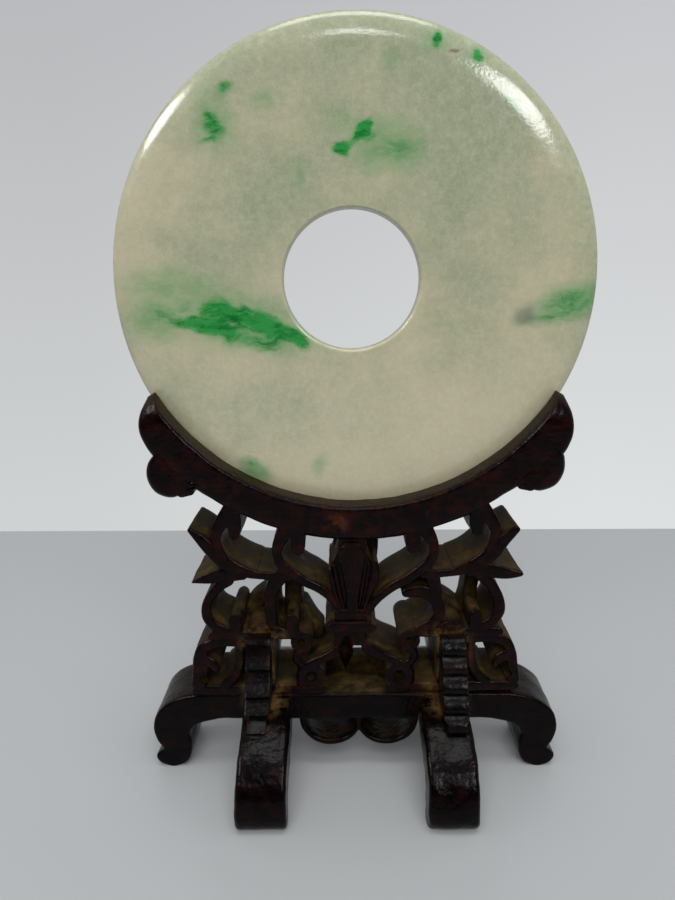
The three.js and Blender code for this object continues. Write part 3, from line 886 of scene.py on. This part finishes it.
# %% Straps of the left side, and of the right side
LEFT_ONLY = {
    "upper_leaf": [
        [39.2, 64.4, 1.4], [36.4, 61.6, 2.8], [33.3, 58.0, 3.2],
        [30, 55, 2.8], [25.5, 53, 2], [16.5, 52, 2.2],
    ],
    "lower_leaf": [[39.0, 51.3, 0.9], [36, 52.0, 2.6], [32, 52.9, 3.6], [27, 52.8, 2.4]],
    "side_scroll": [
        [30.5, 51.5, 2.6], [33.2, 49.5, 2.4], [35.8, 46, 2.2],
        [36.2, 42.5, 2.4], [34.5, 39.8, 2.4], [31, 38, 2.4],
    ],
    "block_frame": [
        [27.5, 34.9, 2.2], [33, 35.2, 2.4], [37.2, 33.8, 2.8],
        [38.2, 31, 3.6], [38.4, 27.5, 4], [39, 24, 3.8],
    ],
    "inner_scroll": [
        [18.4, 52, 4], [20.3, 48.5, 3.2], [20.5, 44, 2.8],
        [20.2, 39.5, 2.6], [18, 37.6, 2.4], [15.4, 37.6, 2.8],
    ],
    "inner_scroll_curl": [[15.6, 38, 3.4], [15.5, 41, 3]],
}
RIGHT_ONLY = {
    "upper_leaf": [
        [38.1, 63.1, 1.8], [35.6, 60.9, 2.9], [33, 57.6, 3.3],
        [30, 54.8, 2.8], [25.5, 52.9, 2], [16.5, 52, 2.2],
    ],
    "lower_leaf": [[39.4, 51.9, 1.5], [36.4, 52, 2.9], [32, 52.9, 3.7], [27, 52.8, 2.4]],
    "side_scroll": [
        [30.0, 51.5, 2.6], [32.4, 49.5, 2.6], [34.4, 46, 2.6],
        [34.8, 42.5, 2.8], [33.4, 39.8, 2.6], [30.6, 38, 2.4],
    ],
    "block_frame": [
        [27.5, 34.9, 2.2], [33, 35.2, 2.4], [36.8, 34.0, 2.6],
        [38.4, 31, 2.6], [38.9, 27.5, 2.8], [39.2, 24, 3.4],
    ],
    "inner_scroll": [
        [12.2, 47.5, 2.2], [16, 47.7, 3.2], [19.1, 45.9, 3.2],
        [20.4, 42.4, 3], [18.9, 39.4, 2.8], [15.4, 37.3, 2.8],
    ],
    "inner_post": [[18.4, 52, 3.6], [19.4, 48, 3.0], [19.7, 46, 2.4]],
}
print(len(LEFT_ONLY), "straps on the left alone and", len(RIGHT_ONLY), "on the right alone")

# %% Webs, and all the straps
WEB_FRONT = 0.5  # the webs begin just behind the board's middle and reach its back
SILL_FRONT = 3.0
# Behind the front, more wood is taken to stand: webs that close the gaps in part. How far they
# reach is a guess.
LEFT_WEBS = {
    "behind_post": [[21.6, 44.6, 2.2], [23.8, 42.4, 3.6], [25.8, 39.8, 4.4], [26.4, 37, 4.6]],
    "behind_scroll": [[15.4, 50, 4.2], [15.6, 43, 4.6], [15.2, 36, 5.4]],
    "beside_window": [[13.4, 39.6, 3.4], [11.6, 36, 3.6], [9.8, 33, 4.2]],
}
RIGHT_WEBS = {
    "behind_post": [[20.4, 42.4, 2.6], [22.8, 40.9, 3.4], [25.4, 38.8, 3.6], [27.4, 36.6, 3.6]],
    "beside_scroll": [[30.2, 49.6, 3.6], [29.6, 44.5, 3.6], [29.2, 41, 3.8], [28.6, 37.3, 5]],
}
BACK_SILL = [[-29, 21.6, 4.6], [0, 21.8, 5.0], [23, 21.6, 4.6]]  # a low wall behind, also a guess
straps = [strap(line, side) for side in (LEFT, RIGHT) for line in BOTH_SIDES.values()]
straps += [strap(line, LEFT) for line in LEFT_ONLY.values()]
straps += [strap(line, RIGHT) for line in RIGHT_ONLY.values()]
straps += [strap(line, LEFT, WEB_FRONT, rounding=1.0) for line in LEFT_WEBS.values()]
straps += [strap(line, RIGHT, WEB_FRONT, rounding=1.0) for line in RIGHT_WEBS.values()]
straps += [strap(BACK_SILL, RIGHT, SILL_FRONT, rounding=0.8)]
print(len(straps), "straps")

# %% [markdown]
# ## The lobes under the horns
# Under each horn hangs a round lobe, flush with the crescent's front. A shallow groove starts
# between them at the outside and dies out, and a small hook closes the lobe's inner end.

# %% Lobes
LOBE_EDGE = [
    [46.8, 82.6], [48.3, 80.4], [48.5, 76.6], [46.6, 73.6],
    [43.4, 72.3], [40.9, 72.9], [39.2, 74.3], [37.4, 75.2],
]
LOBE_ROOT = 57.4  # the radius to which it reaches into the crescent
LOBE_POINTS = 70
LOBE_FACE = FACE + 0.35  # it stands a little proud of the board
HOOK_FACE = FACE + 0.2
LOBE_HOOK = [[40.6, 73.9, 3.0], [38.7, 74.1, 2.6]]


def lobe(side):
    """A bar whose one edge is the lobe's outline and whose other edge lies inside the crescent."""
    outline = spline(LOBE_EDGE, LOBE_POINTS)
    turn = np.radians(np.linspace(50, 38, LOBE_POINTS))
    root = np.column_stack([LOBE_ROOT * np.sin(turn), DISC_MIDDLE - LOBE_ROOT * np.cos(turn)])
    edges = [np.column_stack([side * e[:, 0], leaning(side * e[:, 0], e[:, 1])]) for e in (outline, root)]
    return bar("lobe", *edges, -LOBE_FACE, LOBE_FACE, 1.9, crown=0.15, across_steps=6)


for side in (LEFT, RIGHT):
    straps += [lobe(side), strap(LOBE_HOOK, side, -HOOK_FACE, HOOK_FACE, rounding=0.9)]
print(len(straps), "straps with the lobes and their hooks")

# %% [markdown]
# ## The palmette, its collar and the pendant drop
# In the middle stands a palmette: one broad petal with a thin rib, and narrow petals beside it
# that run together at the collar. Every petal is a rounded bar, so a valley opens between
# neighbours by itself. Under it lie a ledge, a rough collar, a slab with pointed ends, and a
# ridged drop that hangs in front of the base.

# %% What the palmette is drawn by
# The middle petal, the wood it stands on, and the deeper wood behind:
# [height, left edge, right edge], from the top down.
MIDDLE_PETAL = [
    [60.3, -2.6, 0.8], [59.4, -4.0, 1.8], [57.5, -4.4, 2.2], [54.7, -3.9, 2.3], [52.3, -3.4, 2.0],
    [49.9, -2.9, 1.6], [47.4, -2.6, 1.2], [43.2, -2.1, 0.9],
]
CORE = [
    [66, -4.0, 2.4], [58.5, -4.4, 2.8], [54.5, -5.8, 4.2],
    [51, -5.8, 4.2], [46.5, -4.7, 3.1], [42.5, -4.2, 2.6],
]
BACK = [
    [67.5, -4.2, 3.8], [66, -4.3, 4.8], [64.5, -4.4, 5.8],
    [60.5, -5.0, 6.1], [55, -5.4, 6.0], [50, -5.0, 5.4], [44, -4.0, 3.6],
]
# Petals, ribs and the drop: [across, height, width], from the tip down.
NARROW_PETALS = [
    [[-5.0, 54.6, 1.1], [-4.4, 51, 1.3], [-3.6, 47, 1.1], [-2.7, 43.3, 0.9]],
    [[-6.0, 53.6, 0.9], [-5.5, 51, 1.1], [-4.7, 47.4, 1.0], [-3.5, 43.6, 0.9]],
    [[4.5, 55.4, 1.4], [4.7, 52.8, 2.0], [4.1, 50, 2.0], [3.1, 47, 1.6], [2.1, 43.4, 1.2]],
]
SUNK_PETAL = [[3.2, 54.8, 1.0], [2.8, 51, 1.0], [2.1, 47, 0.9], [1.5, 43.6, 0.8]]
RIBS = [
    [[-0.8, 56.4, 0.45], [-0.6, 50, 0.5], [-0.4, 43.6, 0.5]],
    [[-3.7, 54.8, 0.4], [-2.9, 50.4, 0.45], [-2.4, 46.6, 0.4]],
    [[2.1, 54.4, 0.4], [1.5, 49.4, 0.45], [1.0, 45, 0.4]],
]
# Under the petals, from the top down: ledge, collar, slab with pointed ends, its lip, and base.
# [low, high, middle across, half width, how proud, rounding, length of the points]
COLLAR = [
    [42.9, 43.7, -0.95, 3.1, 0.6, 0.25, 0],
    [40.2, 43.1, -1.1, 3.9, 0.15, 0.4, 0],
    [38.1, 40.5, -1.1, 5.0, 1.0, 0.25, 1.3],
    [37.7, 38.2, -1.1, 5.4, 0.75, 0.15, 0],
    [33.6, 37.9, -1.45, 3.7, -0.1, 0.5, 0],
]
DROP = [[-2.2, 34.8, 2.4], [-2.3, 32.9, 3.7], [-2.35, 31.2, 3.2], [-2.5, 28.3, 0.5]]


# %% Palmette
def upright_bar(stations, near, far, rounding, crown=0.0):
    """A bar from the top down between a left and a right edge."""
    line = spline(stations, 50)
    left, right = line[:, [1, 0]], line[:, [2, 0]]
    return bar("upright", left, right, near, far, rounding, crown=crown, across_steps=6)


def level_block(low, high, x, half, proud, rounding, point):
    """A block across the palmette; with a point, its height shrinks to nothing at both ends."""
    out = np.array([-half - point, -half, -half * 0.5, 0, half * 0.5, half, half + point])
    rise = np.array([0.12, 1, 1, 1, 1, 1, 0.12])
    if point == 0:
        out, rise = out[1:-1], rise[1:-1]
    middle = low + (high - low) * 0.3
    top = np.column_stack([x + out, middle + (high - middle) * rise])
    bottom = np.column_stack([x + out, middle - (middle - low) * rise])
    return bar("block", top, bottom, -FACE - proud, FACE + proud, rounding)


def carved_line(stations, proud, rounding, crown=0.0):
    """A strap through the palmette that stands proud of the board on both faces."""
    return strap(stations, 1, -FACE - proud, FACE + proud, rounding, crown, tilt=0)


palmette = [
    upright_bar(CORE, -FACE + 0.7, FACE - 0.7, 0.5),
    upright_bar(BACK, WEB_FRONT, FACE, 2.2),
    upright_bar(MIDDLE_PETAL, -FACE - 0.45, FACE + 0.45, 0.8, crown=0.15),
    carved_line(SUNK_PETAL, -0.25, 0.4),
]
palmette += [carved_line(line, 0.3, 0.6, 0.2) for line in NARROW_PETALS]
palmette += [carved_line(line, 0.78, 0.18) for line in RIBS]
palmette += [level_block(*block) for block in COLLAR]
palmette += [
    strap(DROP, 1, -FACE - 0.4, -FACE + 4, 0.15, 1.2, tilt=0, across_steps=2),
    strap(DROP, 1, FACE - 4, FACE + 0.4, 0.15, 1.2, tilt=0, across_steps=2),
]
print(len(palmette), "forms in the palmette")

# %% [markdown]
# ## Rings, eyes and the cuts
# A scroll ends in a round boss with a hole drilled through its eye. The bosses join the panel
# with the straps, and everything that was cut comes last: the eyes, the groove that takes the
# disc's edge, and the flat underside that stands on the beam.

# %% Rings, eyes and the cuts
def peg(x, z, radius, near=-FACE, far=FACE, sides=40):
    """A round boss or drill: a circle in the board's face carried straight through it."""
    turn = np.linspace(0, 2 * math.pi, sides, endpoint=False)
    depth = np.linspace(near, far, 5)
    px = np.broadcast_to(x + radius * np.cos(turn), (5, sides))
    pz = np.broadcast_to(z + radius * np.sin(turn), (5, sides))
    py = np.broadcast_to(depth[:, None], (5, sides))
    vertices = np.stack([px, py, pz], axis=-1).reshape(-1, 3)
    return mesh_object("peg", vertices, outward(vertices, grid_faces(5, sides)))


def box(x0, x1, y0, y1, z0, z1):
    """A plain box for cutting with."""
    x, y, z = np.meshgrid([x0, x1], [y0, y1], [z0, z1], indexing="ij")
    vertices = np.column_stack([x.ravel(), y.ravel(), z.ravel()])
    faces = [[0, 1, 3, 2], [4, 6, 7, 5], [0, 4, 5, 1], [2, 3, 7, 6], [0, 2, 6, 4], [1, 5, 7, 3]]
    return mesh_object("box", vertices, outward(vertices, faces))


RINGS = [[13.2, 35, 2.7, 0.9], [10.8, 25.6, 3.3, 1.4]]  # [out, height, radius, eye]
BLOCK_EYE = [37.6, 25.4, 1.2]  # [out, height, eye]
THROUGH = 20  # a drill or a saw that goes right through the board
SEAM = 0.06  # the panel stops this far above the beam
BEAM_TOP = 20.5
rings, eyes = [], []
for side in (LEFT, RIGHT):
    for out, z, radius, eye in RINGS:
        rings.append(peg(side * out, leaning(side * out, z), radius))
        eyes.append(peg(side * out, leaning(side * out, z), eye, -THROUGH, THROUGH))
    out, z, eye = BLOCK_EYE
    eyes.append(peg(side * out, leaning(side * out, z), eye, -THROUGH, THROUGH))

panel = boolean(cradle, straps + palmette + rings, "UNION")
groove_half = DISC_THICKNESS / 2 + GAP
groove = peg(0, DISC_MIDDLE, DISC_RADIUS + GAP, -groove_half, groove_half, sides=360)
underside = box(-60, 60, -THROUGH, THROUGH, -5, BEAM_TOP + SEAM)
panel = boolean(panel, eyes + [groove, underside], "DIFFERENCE")
panel.name = "carved_cradle_and_openwork"
work_by_hand(panel, [(0.06, 11), (0.03, 3.5)])
finish_piece(panel, "carved_panel", carved_wood)

# %% [markdown]
# ## The beam with its scrolled side feet
# One long piece: it drops over a round shoulder at each end to a small scrolled foot. Its two
# edges are the shoulder line above and the instep line below, drawn through a few points.

# %% Beam
BEAM_BOTTOM = 13.5
SHOULDER = [
    [39, 20.5], [45.2, 18.9], [49.8, 15.4], [51.2, 11], [50.4, 7.2],
    [49.2, 5], [50.9, 2.9], [50.2, 1.1], [47.6, 0.05],
]
INSTEP = [[35, 13.3], [39.8, 12], [42.1, 9.4], [41.7, 6], [42.2, 2.6], [43.3, 0.9], [45.4, 0.05]]
APRON_X = 0.9
APRON = {"spacing": 7.0, "half": 7.9, "drop": 7.3, "wall": 1.0}
BEAM_FLAT = 38  # the flat middle ends this far out above, and the underside a little sooner
UNDERSIDE_FLAT = 34.4


def beam_body():
    """The upper and the lower edge, from the left foot to the right one, paired ring by ring."""
    over = spline(SHOULDER, 60)
    under = spline(INSTEP, 60)
    flat = np.linspace(-BEAM_FLAT, BEAM_FLAT, 100)
    below = np.interp(flat, [-BEAM_FLAT, BEAM_FLAT], [-UNDERSIDE_FLAT, UNDERSIDE_FLAT])
    upper_flat = np.column_stack([flat, np.full(len(flat), BEAM_TOP)])
    lower_flat = np.column_stack([below, np.full(len(flat), BEAM_BOTTOM - 0.1)])
    upper = np.vstack([(over * [-1, 1])[::-1], upper_flat, over])
    lower = np.vstack([(under * [-1, 1])[::-1], lower_flat, under])
    return bar("beam", upper, lower, -FACE, FACE, 0.7, crown=0.1, across_steps=6)


def apron_lobe(side):
    """A thin wall bent into half an ellipse under the beam."""
    turn = np.linspace(0.02, math.pi - 0.02, 60)
    x = APRON_X + side * APRON["spacing"]
    reach = APRON["half"] - APRON["wall"] / 2
    fall = APRON["drop"] - APRON["wall"] / 2
    stations = np.column_stack(
        [x - reach * np.cos(turn), BEAM_BOTTOM - fall * np.sin(turn), np.full(60, APRON["wall"] * 1.15)]
    )
    return strap(stations, 1, -FACE + 0.1, FACE - 0.1, rounding=0.4, crown=0, tilt=0)


CROSS_FOOT_X = 21.7
CROSS_FOOT_WIDTH = 11.4
LAP_HEIGHT = 17.0
notch = CROSS_FOOT_WIDTH / 2 + 0.1
beam = boolean(beam_body(), [apron_lobe(LEFT), apron_lobe(RIGHT)], "UNION")
laps = (-CROSS_FOOT_X, CROSS_FOOT_X)
notches = [box(x - notch, x + notch, -THROUGH, THROUGH, -5, LAP_HEIGHT) for x in laps]
beam = boolean(beam, notches, "DIFFERENCE")
beam.name = "beam_with_side_feet"
work_by_hand(beam, [(0.1, 14), (0.03, 4)])
finish_piece(beam, "base_beam", beam_wood)

# %% [markdown]
# ## The cross feet
# Each cross foot passes under the beam and runs out to a toe in front and behind. From the
# side it is an arch: its upper edge sweeps down to a blunt, nearly upright toe.

# %% Cross feet
# [distance out from the middle plane, height]
FOOT_TOP = [
    [0, 16.7], [8.1, 16.7], [8.7, 19.9], [14, 19.3], [20, 17.5],
    [26, 14.2], [29.8, 10], [31.3, 5.3], [31.1, 2], [29.6, 0.05],
]
FOOT_UNDERSIDE = [[0, 11.4], [8, 11.2], [14, 10.7], [20, 8.3], [22.4, 4.2], [23.2, 1.2], [24.6, 0.05]]


FOOT_RINGS = 110  # from the middle to a toe


def cross_foot(side, name):
    """Upper and lower edges in Y and Z, mirrored from the front toe to the back one."""
    rise = np.array(FOOT_TOP, float)
    drawn = np.vstack([rise[:2], spline(rise[2:], 90)])
    share, even = np.linspace(0, 1, len(drawn)), np.linspace(0, 1, FOOT_RINGS)
    top = np.column_stack([np.interp(even, share, drawn[:, k]) for k in (0, 1)])
    bottom = spline(FOOT_UNDERSIDE, FOOT_RINGS)
    upper = np.vstack([(top * [-1, 1])[::-1], top[1:]])
    lower = np.vstack([(bottom * [-1, 1])[::-1], bottom[1:]])
    x = side * CROSS_FOOT_X
    half = CROSS_FOOT_WIDTH / 2
    return bar(
        name, upper, lower, x - half, x + half, 1.1, axis="x", crown=0.15, across_steps=8, deep_steps=12
    )


for side, word in ((LEFT, "left"), (RIGHT, "right")):
    foot = cross_foot(side, word + "_arched_foot")
    work_by_hand(foot, [(0.14, 10), (0.05, 3)])
    finish_piece(foot, word + "_cross_foot", rubbed_wood)

# %% [markdown]
# ## The scalloped brackets
# A bracket leans from the panel down to the foot. Its front edge is cut in steps, each step a
# smooth facet that ends in a sharp lip. The lowest lobe is narrower, like a tongue.

# %% Brackets
BRACKET_X = 23.6
BRACKET_WIDTH = 6.0
BRACKET_TOP = 37.5
BRACKET_BACK = FACE + GAP
# Front edges from the top down: [distance out from the middle plane, height].
LEFT_STEPS = [
    [8.9, 37.5], [11.6, 37.3], [12.3, 36.3], [11.0, 35.2], [11.7, 32.6], [13.6, 30.6], [12.6, 29.1],
    [14.2, 26.3], [15.9, 24.6], [14.9, 23.2], [17.6, 20.9], [16.2, 20.0], [17.6, 19.0], [20.2, 17.8],
]
TONGUE_WIDTH = 4.6
TONGUE_TOP = 20.6


def scalloped(count):
    """Lobes on a straight slope: each swells as a sine to a power under 1, with sharp valleys."""
    t = np.linspace(1, 0, count * 10 + 1)
    swell = 1.3 * np.abs(np.sin(math.pi * count * t)) ** 0.6
    out = np.interp(t, [0, 1], [20.4, 10.2]) + swell
    return np.column_stack([out, np.interp(t, [0, 1], [17.7, BRACKET_TOP - 0.4])])


def bracket(name, side, facing, front):
    """Rings from the top down: the scalloped edge in front, the straight back behind."""
    front = np.asarray(front, float)
    foot_top = spline(FOOT_TOP[2:], 60)
    back = np.column_stack([np.full(len(front), BRACKET_BACK), front[:, 1]])
    resting = np.interp(back[:, 0], foot_top[:, 0], foot_top[:, 1]) + 0.1
    back[:, 1] = np.where(front[:, 1] < resting, resting, back[:, 1])
    x = side * BRACKET_X
    half = np.interp(front[:, 1], [TONGUE_TOP - 0.5, TONGUE_TOP + 0.2], [TONGUE_WIDTH / 2, BRACKET_WIDTH / 2])
    return bar(
        name, front * [facing, 1], back * [facing, 1], x - half, x + half, 0.35, axis="x",
        crown=0.1, across_steps=8, deep_steps=8,
    )


BRACKETS = [
    ["front_left_bracket", LEFT, -1, np.array(LEFT_STEPS)],
    ["front_right_bracket", RIGHT, -1, scalloped(5)],
    ["back_left_bracket", LEFT, 1, scalloped(4)],
    ["back_right_bracket", RIGHT, 1, scalloped(4)],
]
for node, side, facing, front in BRACKETS:
    made = bracket(node.replace("bracket", "scalloped_brace"), side, facing, front)
    work_by_hand(made, [(0.08, 6), (0.04, 2)])
    finish_piece(made, node, black_wood, crease=30)

# %% [markdown]
# ## The set and its light
# A pale board under the stand, and pale paper all round. Soft light comes from above and
# behind, as in a glazed cabinet, and the room in front is dark, so the faces of the wood stay
# deep. A polished curve mirrors a lamp as a bright arc, so three lamps that only show as
# reflections stand where the disc's rim mirrors them.

# %% Board
BOARD_EDGE = 168


def board(name, x0, x1, y0, y1, colour, roughness):
    """A flat rectangle on the floor plane, with its own finish."""
    vertices = np.array([[x0, y0, 0], [x1, y0, 0], [x1, y1, 0], [x0, y1, 0]], float)
    made = mesh_object(name, vertices, [[0, 1, 2, 3]])
    material, tree = new_material(name)
    shader = add(tree, "BsdfPrincipled", None, {"Base Color": linear(colour), "Roughness": roughness})
    add(tree, "OutputMaterial", None, {"Surface": shader.outputs[0]})
    made.data.materials.append(material)


board("pale_board", -1500, 1500, -1200, BOARD_EDGE, "#a9abac", 0.25)
print("board ends", BOARD_EDGE, "mm behind the disc")


# %% Lamps
def lamp(name, place, target, size, power, side_axis=(1, 0, 0), shape="RECTANGLE"):
    """A flat lamp in metres and watts. It faces its target, and size is along its side axis first.

    Its own axes: z = place - target, x = the side axis made square to z, y = z cross x.
    """
    data = bpy.data.lights.new(name, "AREA")
    data.shape = shape
    data.size, data.size_y = size
    data.energy = power
    made = bpy.data.objects.new(name, data)
    bpy.context.collection.objects.link(made)
    away = (Vector(place) - Vector(target)).normalized()
    across = Vector(side_axis) - away * Vector(side_axis).dot(away)
    across.normalize()
    up = away.cross(across)
    made.matrix_world = Matrix([[across[i], up[i], away[i], place[i]] for i in range(3)] + [[0, 0, 0, 1]])
    return made


overhead = lamp("overhead", (0, -0.1, 0.9), (0, 0, 0.1), (0.5, 0.3), 2.0)
room = lamp("room_in_front", (0, -0.75, 0.7), (0, 0, 0.1), (0.9, 0.6), 6.5)
room.visible_glossy = False  # soft fill for the jade, without a sheen on the dark wood
print("soft lamps:", round(overhead.data.energy + room.data.energy, 1), "watts")

# %% Windows in the polish
# Lamps that only show as highlights: two tall windows and a small one above, each placed
# where the curve of the rim mirrors it to somebody in front.
# [place, target, size, watts, side axis], in metres
HIGHLIGHTS = {
    "right_window": [
        (0.279, -0.426, 0.408), (0.0385, -0.0025, 0.1545), (0.14, 0.31), 1.3, (0.196, 0, -0.228),
    ],
    "left_window": [
        (-0.432, -0.198, 0.487), (-0.0448, -0.0017, 0.1501), (0.15, 0.357), 1.7, (0.563, 0.025, 0.826),
    ],
    "top_window": [
        (0.013, -0.502, 0.5045), (0, -0.0026, 0.1715), (0.12, 0.071), 0.2, (1, 0, 0),
    ],
}
mirroring = bpy.data.collections.new("what mirrors the windows")
for piece in bpy.context.scene.objects:
    if piece.type == "MESH" and piece.name != "pale_board":
        mirroring.objects.link(piece)
for name, (place, target, size, power, side_axis) in HIGHLIGHTS.items():
    window = lamp(name, place, target, size, power, side_axis, "ELLIPSE")
    window.visible_diffuse = False
    window.light_linking.receiver_collection = mirroring  # not the board


# %% Room light
def room_light():
    """Bright where y + 0.9 z is high, so above and behind, and dark in front; pale to the eye."""
    world = bpy.data.worlds.new("room")
    world.use_nodes = True
    tree = world.node_tree
    tree.nodes.clear()
    way = add(tree, "SeparateXYZ", None, {0: add(tree, "TexCoord").outputs["Generated"]})
    lifted = add(tree, "Math", {"operation": "MULTIPLY_ADD"}, {0: way.outputs[2], 1: 0.9, 2: way.outputs[1]})
    share = add(
        tree, "MapRange", SMOOTH,
        {"Value": lifted.outputs[0], "From Min": -0.7, "From Max": 0.5, "To Min": 0.05, "To Max": 0.8},
    )
    # A dark, half dull wood mirrors the room at about half its brightness.
    rays = add(tree, "LightPath")
    mirrored = add(
        tree, "MapRange", None, {"Value": rays.outputs["Is Glossy Ray"], "To Min": 1, "To Max": 0.45}
    )
    strength = add(tree, "Math", TIMES, {0: share.outputs[0], 1: mirrored.outputs[0]})
    lit = add(tree, "Background", None, {"Color": linear("#f4f7fa"), "Strength": strength.outputs[0]})
    # What the camera sees behind is pale paper with painted light on it: darker higher up, brighter to the
    # right.
    height = add(tree, "MapRange", None, {"Value": way.outputs[2], "From Min": -0.3, "From Max": 0.35})
    backdrop_shaded_by_height = add(tree, "Mix", COLOURS, {0: height.outputs[0], 6: linear("#d2d5d5"), 7: linear("#bbbcbf")})
    backdrop_lit_to_the_right = add(
        tree, "MapRange", None,
        {"Value": way.outputs[0], "From Min": -0.35, "From Max": 0.35, "To Min": 0.97, "To Max": 1.12},
    )
    seen = add(tree, "Background", None, {"Color": backdrop_shaded_by_height.outputs[2], "Strength": backdrop_lit_to_the_right.outputs[0]})
    mixed = add(
        tree, "MixShader", None, {0: rays.outputs["Is Camera Ray"], 1: lit.outputs[0], 2: seen.outputs[0]}
    )
    add(tree, "OutputWorld", None, {"Surface": mixed.outputs[0]})
    bpy.context.scene.world = world


room_light()
bpy.context.scene.view_settings.view_transform = "Standard"
print("set and lamps ready")
